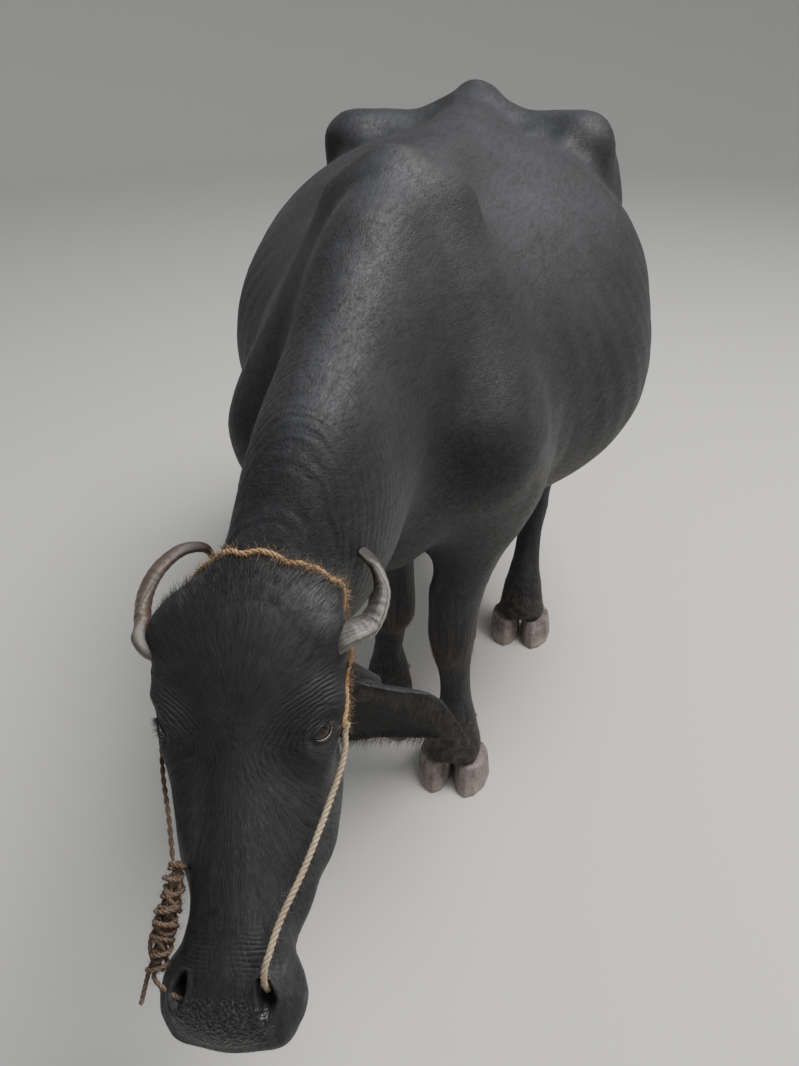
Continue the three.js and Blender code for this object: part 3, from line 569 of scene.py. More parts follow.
# The hide's colours, in linear light, with its relief and shine
hideLook = {"dark": (0.0042, 0.0042, 0.0046, 1), "light": (0.027, 0.0272, 0.029, 1),
            "brown": (0.075, 0.036, 0.016, 1), "dust": (0.13, 0.115, 0.10, 1),
            "moist": (0.012, 0.012, 0.013, 1), "grit": (0.11, 0.10, 0.09, 1), "hair": 0.0017, "rough": 0.62,
            "shine": 0.36, "sheen": 0.02}


def stretched(tree, where, axes, squeeze):
    inputs = {"Vector": where, "Rotation": axes, "Scale": squeeze}
    return result(tree, "ShaderNodeMapping", inputs, vector_type="POINT")


def makeHide():
    material, tree, shader = newMaterial("hide", Roughness=0.5)
    where = objectPlace(tree)
    face, leg = maskOf(tree, "face"), maskOf(tree, "leg")
    body = stretched(tree, where, (-0.55, 0, 0), (1, 0.09, 1))
    down = stretched(tree, where, (0, 0, 0), (1, 1, 0.08))
    comb = addNode(tree, "ShaderNodeAttribute", attribute_name="comb").outputs["Vector"]
    warp = addNode(tree, "ShaderNodeTexNoise",
                   {"Vector": where, "Scale": 24.0, "Detail": 3.0}).outputs["Color"]
    bend = scaled(tree, warp, 0.011)
    streaks = []
    for way in (body, down, comb):
        bent = vectorCalc(tree, "ADD", way, bend)
        streaks.append(useShared(tree, "strands", Vector=bent))
    mixed = result(tree, "ShaderNodeMix", {0: leg, 2: streaks[0], 3: streaks[1]})
    mixed = result(tree, "ShaderNodeMix", {0: face, 2: mixed, 3: streaks[2]})
    cloud = noise(tree, where, 9.0, 5.0)
    tone = plus(tree, times(tree, mixed, 0.75), times(tree, cloud, 0.35))
    color = mixColor(tree, fade(tree, tone, 0.38, 0.72), hideLook["dark"], hideLook["light"])
    sparse = times(tree, maskOf(tree, "brown"), fade(tree, mixed, 0.5, 0.62))
    color = mixColor(tree, times(tree, sparse, 0.55), color, hideLook["brown"])
    speck = speckle(tree, where, 60.0, 6.0, 0.7, 0.45, 0.7)
    dusty = times(tree, times(tree, maskOf(tree, "dust"), speck), 0.6)
    color = mixColor(tree, dusty, color, hideLook["dust"])
    moist = maskOf(tree, "moist")
    grit = speckle(tree, where, 340.0, 6.0, 0.75, 0.5, 0.72)
    color = mixColor(tree, moist, color, mixColor(tree, grit, hideLook["moist"], hideLook["grit"]))
    grain = addNode(tree, "ShaderNodeTexVoronoi", {"Vector": where, "Scale": 260.0}).outputs["Distance"]
    gloss = rampNode(tree, mixed, ((0.3, hideLook["rough"] + 0.15), (0.7, hideLook["rough"] - 0.08)))
    # painted shade: where the 'shade' mask is set (the lower part of each ear's hollow) the colour is
    # darkened to near black
    color = mixColor(tree, maskOf(tree, "shade"), color, (0.004, 0.004, 0.004, 1))
    wire(shader, Base_Color=color, Roughness=mixColor(tree, moist, gloss, (0.3, 0.3, 0.3, 1)))
    height = result(tree, "ShaderNodeMix", {0: moist, 2: mixed, 3: grain})
    lines = addNode(tree, "ShaderNodeTexWave",
                    {"Vector": stretched(tree, where, (0.45, 0, 0), (0.25, 1, 0.4)), "Scale": 26.0,
                     "Distortion": 9.0, "Detail": 4.0, "Detail Scale": 1.1},
                    bands_direction="Y").outputs["Fac"]
    creases = times(tree, times(tree, lines, maskOf(tree, "nape")), 0.36)
    sway = noise(tree, where, 36.0, 3.0)
    for coordinate, mask, count, depth in (("rings", "brow", 0.2, 1.15), ("pad", "pleat", 0.2, 0.6)):
        turns = plus(tree, times(tree, maskOf(tree, coordinate), count), times(tree, sway, 2.0))
        wave = calc(tree, "SINE", times(tree, turns, 2 * math.pi))
        wave = calc(tree, "POWER", plus(tree, times(tree, wave, 0.5), 0.5), 0.45)
        creases = plus(tree, creases, times(tree, times(tree, wave, maskOf(tree, mask)), depth))
    height = plus(tree, height, creases)
    wire(shader, Normal=useShared(tree, "relief", Height=height, Depth=hideLook["hair"], Strength=0.9),
         Specular_IOR_Level=hideLook["shine"], Sheen_Weight=hideLook["sheen"], Sheen_Roughness=0.35)
    return material


# The face's hair is combed away from a whorl on the forehead
combLook = {"whorl": (4, 176), "across": 0.16, "along": 0.00018, "out": 0.0003}


def combFace(mesh):
    head = inHead(readPoints(mesh))
    u, v, w = head.T
    whorl = combLook["whorl"]
    away = np.hypot(u - whorl[0], v - whorl[1])
    turn = np.arctan2(u - whorl[0], v - whorl[1])
    side = np.stack([turn * combLook["across"], away * combLook["along"], w * combLook["out"]], 1)
    setVectors(mesh, "comb", side)


hide = makeHide()
skin = makeSkin(hide)
combFace(skin.data)


# Eyeballs: a dark oval pupil in a streaked brown iris
eyeColors = {"pupil": (0.002, 0.002, 0.003, 1), "iris": ((0.010, 0.005, 0.003, 1), (0.055, 0.028, 0.014, 1)),
             "edge": (0.006, 0.004, 0.004, 1), "white": ((0.05, 0.030, 0.024, 1), (0.11, 0.062, 0.05, 1))}


def makeEyes():
    material, tree, shader = newMaterial("eye", Roughness=0.05)
    across, up, reach = maskOf(tree, "across"), maskOf(tree, "up"), maskOf(tree, "reach")
    around = calc(tree, "ARCTAN2", up, across)
    ray = result(tree, "ShaderNodeCombineXYZ",
                 {0: calc(tree, "COSINE", around), 1: calc(tree, "SINE", around), 2: times(tree, reach, 0.5)})
    streak = noise(tree, ray, 16.0, 4.0, 0.7)
    iris = fade(tree, streak, 0.35, 0.7, *eyeColors["iris"])
    wide, tall = times(tree, across, 0.72), times(tree, up, 1.35)
    hole = calc(tree, "SQRT", plus(tree, times(tree, wide, wide), times(tree, tall, tall)))
    color = mixColor(tree, fade(tree, hole, 0.30, 0.36, 1.0, 0.0), iris, eyeColors["pupil"])
    color = mixColor(tree, fade(tree, reach, 0.56, 0.66), color, eyeColors["edge"])
    white = mixColor(tree, fade(tree, streak, 0.4, 0.6), *eyeColors["white"])
    color = mixColor(tree, fade(tree, reach, 0.70, 0.80), color, white)
    wire(shader, Base_Color=color, Coat_Weight=0.6, Coat_Roughness=0.02)
    for side, name in ((1, "left"), (-1, "right")):
        centre, gaze, long, short = eyeWays(side)
        mesh = bpy.data.meshes.new("eyeball_" + name)
        shape = bmesh.new()
        bmesh.ops.create_uvsphere(shape, u_segments=48, v_segments=32, radius=eyeLook["radius"] / 1000)
        shape.to_mesh(mesh)
        shape.free()
        local = readPoints(mesh) / (eyeLook["radius"] / 1000)
        for key, way in (("across", long), ("up", short)):
            setMask(mesh, key, local @ headWay(way))
        setMask(mesh, "reach", np.arccos(np.clip(local @ headWay(gaze), -1, 1)))
        mesh.transform(Matrix.Translation(onHead(centre)))
        piece = finishPiece("eyeball_" + name, mesh, material)
        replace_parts(piece, "eye_" + name)


makeEyes()
print("eyes made")


# Paths
def curveThrough(points, count):
    points = np.asarray(points, float)
    ends = np.vstack([2 * points[0] - points[1], points, 2 * points[-1] - points[-2]])
    made = []
    for i in range(len(points) - 1):
        a, b, c, d = ends[i:i + 4]
        bend, twist = 2 * a - 5 * b + 4 * c - d, 3 * b - a - 3 * c + d
        for t in np.linspace(0, 1, 24, endpoint=False):
            made.append(0.5 * (2 * b + (c - a) * t + bend * t ** 2 + twist * t ** 3))
    made.append(points[-1])
    made = np.array(made)
    gone = np.concatenate([[0], np.cumsum(np.linalg.norm(np.diff(made, axis=0), axis=1))])
    wanted = np.linspace(0, gone[-1], count)
    return np.stack([np.interp(wanted, gone, made[:, axis]) for axis in range(3)], 1)


def sweepMesh(name, middle, side, sizeAt, sides):
    along = unit(np.gradient(middle, axis=0))
    wide = unit(side - along * (along @ side)[:, None])
    thick = np.cross(along, wide)
    turn = np.arange(sides) / sides * 2 * math.pi
    place = np.linspace(0, 1, len(middle))
    points = []
    for i, t in enumerate(place):
        a, b = sizeAt(t, turn)
        across = wide[i] * (np.cos(turn) * a)[:, None]
        points.append(middle[i] + across + thick[i] * (np.sin(turn) * b)[:, None])
    faces = ringFaces(len(middle), sides)
    faces.append(tuple(range(sides - 1, -1, -1)))
    faces.append(tuple((len(middle) - 1) * sides + n for n in range(sides)))
    mesh = meshFrom(name, np.concatenate(points), faces)
    setMask(mesh, "along", np.repeat(place, sides))
    setMask(mesh, "around", np.tile(turn, len(middle)))
    return mesh


# Horns: flattened and ridged, paler towards the root, with a painted highlight along the outer rim
hornLook = {"halfWidth": 0.0232, "halfThickness": 0.0132, "tip": 0.0022, "ridge": 0.035, "ridges": 22}
# the pale colour serves both the horn's own pale root and the painted highlight along its outer rim
hornColors = {"grey": ((0.014, 0.013, 0.013, 1), (0.05, 0.045, 0.04, 1), (0.15, 0.135, 0.115, 1)),
              "pale": (0.36, 0.335, 0.28, 1), "earth": ((0.035, 0.022, 0.016, 1), (0.12, 0.075, 0.052, 1)),
              "tip": (0.05, 0.045, 0.042, 1)}
hornPaths = {
    "left": [(71, 84, -82), (114, 67, -47), (139, 49, -64), (149, 17, -77), (141, -15, -90), (120, -39, -105),
             (104, -52, -114), (96, -60, -126), (98, -70, -138)],
    "right": [(-70, 84, -82), (-113, 79, -46), (-131, 49, -60), (-138, 15, -76), (-130, -18, -91),
              (-110, -44, -109), (-88, -50, -130), (-84, -34, -152), (-100, -22, -166)],
}


def makeHornMaterial():
    material, tree, shader = newMaterial("horn", Roughness=0.38)
    along, around = maskOf(tree, "along"), maskOf(tree, "around")
    where = objectPlace(tree)
    strip = result(tree, "ShaderNodeCombineXYZ",
                   {0: times(tree, along, 3.0), 1: calc(tree, "SINE", around),
                    2: calc(tree, "COSINE", around)})
    grain = noise(tree, vectorCalc(tree, "MULTIPLY", strip, (1.0, 9.0, 9.0)), 3.0, 6.0, 0.65)
    bands = noise(tree, vectorCalc(tree, "MULTIPLY", strip, (14.0, 0.6, 0.6)), 2.0, 4.0)
    tone = plus(tree, times(tree, grain, 0.55), times(tree, bands, 0.45))
    grey = rampNode(tree, tone, list(zip((0.34, 0.52, 0.7), hornColors["grey"])))
    root = fade(tree, along, 0.08, 0.34, 1.0, 0.0)
    # painted highlight: one edge of the flattened horn, the outer rim, is made pale as if catching the light;
    # the pale root above is the horn's own colour
    rim = fade(tree, calc(tree, "COSINE", around), 0.55, 1.0)
    # pale carries both the real pale root and the painted rim highlight
    pale = times(tree, calc(tree, "MAXIMUM", root, rim), fade(tree, grain, 0.42, 0.62))
    color = mixColor(tree, times(tree, pale, 0.8), grey, hornColors["pale"])
    earthy = times(tree, maskOf(tree, "earthy"), fade(tree, along, 0.12, 0.3, 0.0, 0.8))
    color = mixColor(tree, earthy, color, mixColor(tree, grain, *hornColors["earth"]))
    color = mixColor(tree, fade(tree, along, 0.6, 1.0, 0.0, 0.8), color, hornColors["tip"])
    wire(shader, Base_Color=color, Roughness=fade(tree, grain, 0.3, 0.7, 0.5, 0.28),
         Normal=useShared(tree, "relief", Height=tone, Depth=0.0012, Strength=0.8))
    return material


def makeHorns(material):
    for name, path in hornPaths.items():
        draw = random.Random(5)
        phase = [draw.uniform(-0.25, 0.25) for _ in range(hornLook["ridges"] + 2)]

        def sizeAt(t, turn):
            body = max(1 - t, 0) ** 0.75
            ring = t * hornLook["ridges"]
            swell = 1 + hornLook["ridge"] * math.sin(2 * math.pi * (ring + phase[int(ring)])) * (1 - t) ** 0.5
            keel = 1 + 0.05 * np.cos(turn - 0.4) ** 2
            return (tuple((hornLook["tip"] + (hornLook[key] - hornLook["tip"]) * body) * swell * keel
                          for key in ("halfWidth", "halfThickness")))

        middle = curveThrough([onHead(p) for p in path], 150)
        mesh = sweepMesh("horn_sheath_" + name, middle, headWay((0.35, 0.6, 0.7)), sizeAt, 36)
        setMask(mesh, "earthy", np.full(len(mesh.vertices), 1.0 if name == "right" else 0.0))
        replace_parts(finishPiece("horn_sheath_" + name, mesh, material), "horn_" + name)


# Ears: a curled leaf of skin on a short round root, with painted shade in the lower part of the hollow
earLook = {"base": vec(100, 112, -112), "length": 0.208, "halfWidth": 0.078, "thickness": 0.0052,
           "voxel": 0.0024, "poses": {"left": (vec(0.66, 0.42, -0.62), vec(0.12, -0.9, -0.2)),
                                      "right": (vec(-0.16, 0.7, -0.7), vec(-0.8, -0.4, -0.3))}}


def earFrame(name):
    along, hollow = earLook["poses"][name]
    along = unit(along)
    face = unit(hollow - along * (hollow @ along))
    side = 1 if name == "left" else -1
    return onHead(earLook["base"] * vec(side, 1, 1)), along, face, unit(np.cross(along, face))


def earPoint(name, t, x, depth):
    base, along, face, wide = earFrame(name)
    half = earLook["halfWidth"] * (0.85 + 0.15 * min(1, t / 0.25)) * min(1, (1 - t) / 0.66) ** 0.95 + 0.001
    if x * wide[2] > 0:
        half *= 0.42 + 0.58 * ramp(t, 0.0, 0.36)
    curl = 2.3 - 1.2 * min(1, t / 0.5)
    turn = x * curl / 2
    radius = 2 * half / curl - depth
    middle = base + along * t * earLook["length"] - worldUp * 0.026 * t * t
    return middle + wide * math.sin(turn) * radius + face * ((1 - math.cos(turn)) * radius + depth)


def makeEar(name, material):
    rows, across = 48, 24
    base, along, face, wide = earFrame(name)
    points = []
    for i in range(rows + 1):
        t = i / rows
        thin = earLook["thickness"] * (1 - 0.45 * t)
        points += [earPoint(name, t, 2 * n / across - 1, 0) for n in range(across + 1)]
        points += [earPoint(name, t, (2 * n / across - 1) * 0.98, thin) for n in range(across, -1, -1)]
    ring = 2 * (across + 1)
    faces = ringFaces(rows + 1, ring)
    faces += [tuple(range(ring - 1, -1, -1)), tuple(rows * ring + n for n in range(ring))]
    stub = sweepMesh("stub", curveThrough([base - along * 0.045, base, base + along * 0.04], 16), wide,
                     lambda t, turn: (0.031 - 0.008 * t, 0.027 - 0.012 * t), 24)
    start = len(points)
    points += [v.co for v in stub.vertices]
    faces += [[start + i for i in polygon.vertices] for polygon in stub.polygons]
    mesh = meshFrom("ear", points, faces)
    mesh = remeshed(mesh, earLook["voxel"])
    relax(mesh, 16)
    points = readPoints(mesh)
    q = points - base
    comb = np.stack([q @ wide, q @ face, 0.06 * (q @ along)], 1)
    setVectors(mesh, "comb", comb)
    setMask(mesh, "face", np.ones(len(points)))
    # painted shade: the 'shade' mask darkens the lower part of the ear's hollow to near black, and the upper
    # part is left lit
    inside = ramp(readNormals(mesh) @ face, 0.0, 0.45)
    lower = 1 if wide[2] < 0 else -1
    across = lower * (q @ wide) / earLook["halfWidth"]
    setMask(mesh, "shade", inside * ramp(across, -0.3, 0.0) * 0.93)
    piece = finishPiece("ear_leaf_" + name, mesh, material)
    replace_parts(piece, "ear_" + name)


# Hooves: one shell for each claw, ringed and pale with earth
hoofLook = {"voxel": 0.0026, "rounds": 6,
            "horn": ((0.05, 0.04, 0.036, 1), (0.17, 0.135, 0.12, 1), (0.31, 0.26, 0.235, 1)),
            "dust": (0.33, 0.285, 0.245, 1)}


def makeHoofMaterial():
    material, tree, shader = newMaterial("hoof", Roughness=0.75)
    where = objectPlace(tree)
    rings = noise(tree, stretched(tree, where, (0, 0, 0), (0.35, 0.35, 4.0)), 45.0, 4.0)
    cloud = noise(tree, where, 38.0, 6.0, 0.65)
    fine = noise(tree, where, 420.0, 4.0, 0.7)
    tone = plus(tree, times(tree, cloud, 0.65), times(tree, fine, 0.35))
    color = rampNode(tree, tone, list(zip((0.34, 0.48, 0.66), hoofLook["horn"])))
    low = addNode(tree, "ShaderNodeSeparateXYZ", {0: where}).outputs[2]
    dust = fade(tree, calc(tree, "MULTIPLY", low, 16.0, True), 0.0, 0.6, 0.7, 0.0)
    color = mixColor(tree, dust, color, hoofLook["dust"])
    height = plus(tree, rings, times(tree, fine, 0.5))
    wire(shader, Base_Color=color, Normal=useShared(tree, "relief", Height=height, Depth=0.002, Strength=0.8))
    return material


def makeHooves(material):
    for node in sorted(nodes):
        if node.startswith(("claw_", "dewclaw_")):
            mesh = remeshed(joinedMesh(node, [node]), hoofLook["voxel"])
            relax(mesh, hoofLook["rounds"])
            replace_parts(finishPiece("sheath_" + node, mesh, material), node)


# Geometry Nodes
def newGroup(name, **sockets):
    tree = bpy.data.node_groups.new(name, "GeometryNodeTree")
    tree.interface.new_socket("Geometry", in_out="INPUT", socket_type="NodeSocketGeometry")
    tree.interface.new_socket("Geometry", in_out="OUTPUT", socket_type="NodeSocketGeometry")
    for socket, kind in sockets.items():
        tree.interface.new_socket(socket, in_out="INPUT", socket_type="NodeSocket" + kind)
    source = tree.nodes.new("NodeGroupInput")
    return tree, source.outputs


def closeGroup(tree, geometry, material):
    real = result(tree, "GeometryNodeRealizeInstances", {0: geometry})
    final = result(tree, "GeometryNodeSetMaterial", {"Geometry": real, "Material": material})
    out = tree.nodes.new("NodeGroupOutput")
    tree.links.new(final, out.inputs[0])


def grown(name, base, tree, material, values):
    holder = placed("holder", base)
    modifier = holder.modifiers.new("grow", "NODES")
    modifier.node_group = tree
    for item in tree.interface.items_tree:
        if item.item_type == "SOCKET" and item.in_out == "INPUT" and item.name in values:
            modifier[item.identifier] = values[item.name]
    mesh = evaluated(holder)
    holder.modifiers.clear()
    bpy.data.objects.remove(holder)
    mesh.materials.clear()
    piece = finishPiece(name, mesh, material)
    print(name, len(mesh.polygons))
    return piece


def attributeOf(tree, name, kind="FLOAT"):
    return result(tree, "GeometryNodeInputNamedAttribute", {"Name": name}, data_type=kind)


def circle(tree, sides, radius):
    return result(tree, "GeometryNodeCurvePrimitiveCircle", {"Resolution": sides, "Radius": radius},
                  mode="RADIUS")


def swept(tree, curve, profile, more={}):
    return result(tree, "GeometryNodeCurveToMesh", {"Curve": curve, "Profile Curve": profile, **more})


def drawn(tree, low, high, seed, kind="FLOAT", **links):
    first = 2 if kind == "FLOAT" else 0
    inputs = {first: low, first + 1: high, "Seed": seed, **links}
    return addNode(tree, "FunctionNodeRandomValue", inputs, data_type=kind).outputs[first // 2]


# A laid rope: strands twisted round a path, with loose fibres standing off it
def ropeGroup():
    tree, given = newGroup("laidRope", Radius="Float", Strands="Int", Turns="Float", Fuzz="Float",
                           Fibre="Float", Seed="Int", Material="Material")
    path = result(tree, "GeometryNodeResampleCurve", {"Curve": given["Geometry"], "Length": 0.0016},
                  mode="LENGTH")
    copy = addNode(tree, "GeometryNodeDuplicateElements", {"Geometry": path, "Amount": given["Strands"]},
                   domain="SPLINE")
    gone = addNode(tree, "GeometryNodeSplineParameter").outputs["Length"]
    share = calc(tree, "DIVIDE", copy.outputs["Duplicate Index"], given["Strands"])
    angle = times(tree, plus(tree, times(tree, gone, given["Turns"]), share), 2 * math.pi)
    tangent = result(tree, "GeometryNodeInputTangent")
    normal = result(tree, "GeometryNodeInputNormal")
    other = vectorCalc(tree, "CROSS_PRODUCT", tangent, normal)
    way = vectorCalc(tree, "ADD", scaled(tree, normal, calc(tree, "COSINE", angle)),
                     scaled(tree, other, calc(tree, "SINE", angle)))
    off = scaled(tree, way, times(tree, given["Radius"], 0.5))
    laid = result(tree, "GeometryNodeSetPosition", {"Geometry": copy.outputs["Geometry"], "Offset": off})
    ring = circle(tree, 8, times(tree, given["Radius"], 0.52))
    body = swept(tree, laid, ring, {"Fill Caps": True})
    roots = addNode(tree, "GeometryNodeDistributePointsOnFaces",
                    {"Mesh": body, "Density": given["Fuzz"], "Seed": given["Seed"]})
    arc = result(tree, "GeometryNodeCurveQuadraticBezier",
                 {"Resolution": 4, "Start": (0, 0, -0.1), "Middle": (0.5, 0.1, 0.35),
                  "End": (0.55, -0.2, 1.0)})
    hair = circle(tree, 3, 0.012)
    fibre = swept(tree, arc, hair)
    lean = vectorCalc(tree, "ADD", scaled(tree, roots.outputs["Normal"], 0.45),
                      drawn(tree, (-1, -1, -1), (1, 1, 1), 3, "FLOAT_VECTOR"))
    turn = result(tree, "FunctionNodeAlignRotationToVector", {"Vector": lean}, axis="Z")
    grow = times(tree, drawn(tree, 0.3, 1.0, 5), given["Fibre"])
    fuzz = result(tree, "GeometryNodeInstanceOnPoints",
                  {"Points": roots.outputs["Points"], "Instance": fibre, "Rotation": turn, "Scale": grow})
    joined = addNode(tree, "GeometryNodeJoinGeometry")
    tree.links.new(fuzz, joined.inputs[0])
    tree.links.new(body, joined.inputs[0])
    closeGroup(tree, joined.outputs[0], given["Material"])
    return tree


def curveOf(paths):
    curve = bpy.data.curves.new("path", "CURVE")
    curve.dimensions = "3D"
    for path in paths:
        spline = curve.splines.new("POLY")
        spline.points.add(len(path) - 1)
        for point, place in zip(spline.points, path):
            point.co = (*place, 1)
    return curve


def makeRopeMaterial(name, dark, light):
    material, tree, shader = newMaterial(name, Roughness=0.9)
    where = objectPlace(tree)
    tone = noise(tree, where, 300.0, 5.0, 0.7)
    dirt = times(tree, speckle(tree, where, 22.0, 4.0, 0.55, 0.42, 0.7), 0.7)
    color = mixColor(tree, dirt, rampNode(tree, tone, ((0.35, dark), (0.65, light))), dark)
    wire(shader, Base_Color=color, Normal=useShared(tree, "relief", Height=tone, Depth=0.0008, Strength=0.9))
    return material


# The wound bundle on the right cheek, its loose end and the cord into the nostril
knotLook = {"top": vec(-61, 312, -48), "bottom": vec(-68, 428, -48), "radius": 12.0, "wraps": 15,
            "nostril": [(-50, 446, -34), (-44, 448, -44)]}


def knotPaths(lifted):
    top, bottom = lifted(np.array([onHead(knotLook["top"]), onHead(knotLook["bottom"])]), 0.010)
    along = unit(bottom - top)
    out = unit(np.cross(along, headAxes[0]))
    side = np.cross(along, out)
    length = np.linalg.norm(bottom - top)
    turn = np.linspace(0, 1, 560)
    angle = turn * 2 * math.pi * knotLook["wraps"]
    swell = 0.45 + 0.5 * np.sin(turn ** 1.2 * math.pi) + 0.2 * np.sin(angle * 0.37)
    swell += 0.1 * np.sin(angle * 1.7)
    width = knotLook["radius"] / 1000 * swell

    def ringed(angles, size):
        return (out * np.cos(angles)[:, None] + side * np.sin(angles)[:, None]) * size[:, None]

    coil = top + along * (length * turn)[:, None] + ringed(angle, width)
    core = []
    for way in (out, side, -out, -side):
        middle = [top * 0.6 + bottom * 0.4 + way * 0.006, top * 0.3 + bottom * 0.7 - way * 0.004]
        core.append(curveThrough([top, *middle, bottom], 60))
    coil += along * (0.006 * np.sin(angle * 0.5 + 1))[:, None]
    middle = [top * 0.3 + bottom * 0.7 + side * 0.012, top * 0.7 + bottom * 0.3 - side * 0.008]
    back = curveThrough([bottom, *middle, top - out * 0.004], 60)
    back += out * (0.004 * np.sin(np.linspace(0, 9, 60)))[:, None]
    other = top + along * (length * (0.12 + 0.8 * turn))[:, None]
    other += ringed(-angle * 0.6 + 1, width * 0.8)
    other += along * (0.007 * np.sin(angle * 0.83))[:, None]
    left, down, outward = headAxes
    end = curveThrough([bottom - along * 0.03, bottom - left * 0.008, bottom - left * 0.015 + down * 0.034],
                       30)
    loose = curveThrough([bottom - along * 0.01, bottom + down * 0.008 + outward * 0.003,
                          *(onHead(place) for place in knotLook["nostril"])], 30)
    return [coil, other, back, end, loose, *core]


ropeLook = {
    "poll": {"Radius": 0.0034, "Strands": 3, "Turns": 46.0, "Fuzz": 120000.0, "Fibre": 0.012, "Seed": 1},
    "left": {"Radius": 0.0037, "Strands": 3, "Turns": 48.0, "Fuzz": 40000.0, "Fibre": 0.006, "Seed": 2},
    "right": {"Radius": 0.0030, "Strands": 2, "Turns": 42.0, "Fuzz": 40000.0, "Fibre": 0.006, "Seed": 3},
    "knot": {"Radius": 0.0027, "Strands": 3, "Turns": 60.0, "Fuzz": 60000.0, "Fibre": 0.008, "Seed": 4},
}
ropeColors = {
    "poll": ((0.25, 0.13, 0.05, 1), (0.62, 0.42, 0.23, 1)),
    "left": ((0.26, 0.19, 0.12, 1), (0.56, 0.45, 0.32, 1)),
    "right": ((0.07, 0.043, 0.028, 1), (0.22, 0.15, 0.10, 1)),
    "knot": ((0.07, 0.043, 0.028, 1), (0.22, 0.15, 0.10, 1)),
}
ropeRoom = {"poll": 0.0008, "left": 0.0049, "right": 0.0042}
ropePaths = {
    "poll": [(-104, 96, -96), (-96, 30, -104), (-74, -4, -68), (-30, -19, -30), (20, -19, -27), (66, -6, -54),
             (96, 34, -100), (110, 78, -100), (110, 112, -80), (112, 140, -71), (112, 166, -69)],
    "left": [(112, 160, -69), (112, 196, -72), (98, 250, -62), (80, 310, -42), (62, 358, -22), (53, 392, -12),
             (48, 410, -14), (45, 425, -28), (44, 436, -46)],
    "right": [(-104, 104, -98), (-112, 160, -92), (-106, 215, -84), (-86, 268, -64), (-72, 312, -50)],
}


def makeRopes():
    surface = BVHTree.FromPolygons([v.co for v in skin.data.vertices],
                                   [p.vertices for p in skin.data.polygons])

    def lifted(points, room):
        for _ in range(3):
            for i, p in enumerate(points):
                near, normal, _, far = surface.find_nearest(Vector(p))
                inside = (Vector(p) - near).dot(normal) < 0
                if inside or far < room:
                    points[i] = np.array(near + normal * room)
        return points

    group = ropeGroup()
    named = {"poll": "halter_poll_rope", "left": "halter_left_rope", "right": "halter_right_rope",
             "knot": "halter_knot"}
    materials = {key: makeRopeMaterial("rope_" + key, *colors) for key, colors in ropeColors.items()}
    paths = {}
    for key, path in ropePaths.items():
        paths[key] = [lifted(curveThrough([onHead(p) for p in path], 90), ropeRoom[key])]
    paths["knot"] = knotPaths(lifted)
    for key, splines in paths.items():
        values = dict(ropeLook[key], Material=materials[key])
        piece = grown("rope_" + key, curveOf(splines), group, materials[key], values)
        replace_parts(piece, named[key])


# Hair: guide paths filled with fine tapering hairs that gather towards the tip
def lockGroup():
    tree, given = newGroup("hairLocks", Hairs="Int", Spread="Float", Gather="Float", Thick="Float",
                           Points="Int", Seed="Int", Material="Material")
    path = result(tree, "GeometryNodeResampleCurve", {"Curve": given["Geometry"], "Count": given["Points"]},
                  mode="COUNT")
    copy = addNode(tree, "GeometryNodeDuplicateElements", {"Geometry": path, "Amount": given["Hairs"]},
                   domain="SPLINE")
    owner = result(tree, "GeometryNodeInputIndex")
    spline = result(tree, "GeometryNodeCurveOfPoint", {"Point Index": owner})
    factor = addNode(tree, "GeometryNodeSplineParameter").outputs["Factor"]

    def perHair(low, high, salt, kind="FLOAT_VECTOR"):
        return drawn(tree, low, high, plus(tree, given["Seed"], salt), kind, ID=spline)

    spread = times(tree, given["Spread"], calc(tree, "SUBTRACT", 1.0, times(tree, factor, given["Gather"])))
    off = scaled(tree, perHair((-1, -1, -1), (1, 1, 1), 1), spread)
    stray = scaled(tree, perHair((-1, -1, -1), (1, 1, 1), 2),
                   times(tree, calc(tree, "POWER", factor, 3.0), times(tree, given["Spread"], 1.1)))
    laid = result(tree, "GeometryNodeSetPosition",
                  {"Geometry": copy.outputs["Geometry"], "Offset": vectorCalc(tree, "ADD", off, stray)})
    cut = result(tree, "GeometryNodeTrimCurve", {"Curve": laid, "End": perHair(0.6, 1.0, 3, "FLOAT")},
                 mode="FACTOR")
    taper = calc(tree, "SUBTRACT", 1.02, calc(tree, "POWER", factor, 2.0))
    ring = circle(tree, 3, given["Thick"])
    hairs = swept(tree, cut, ring, {"Scale": taper})
    closeGroup(tree, hairs, given["Material"])
    return tree


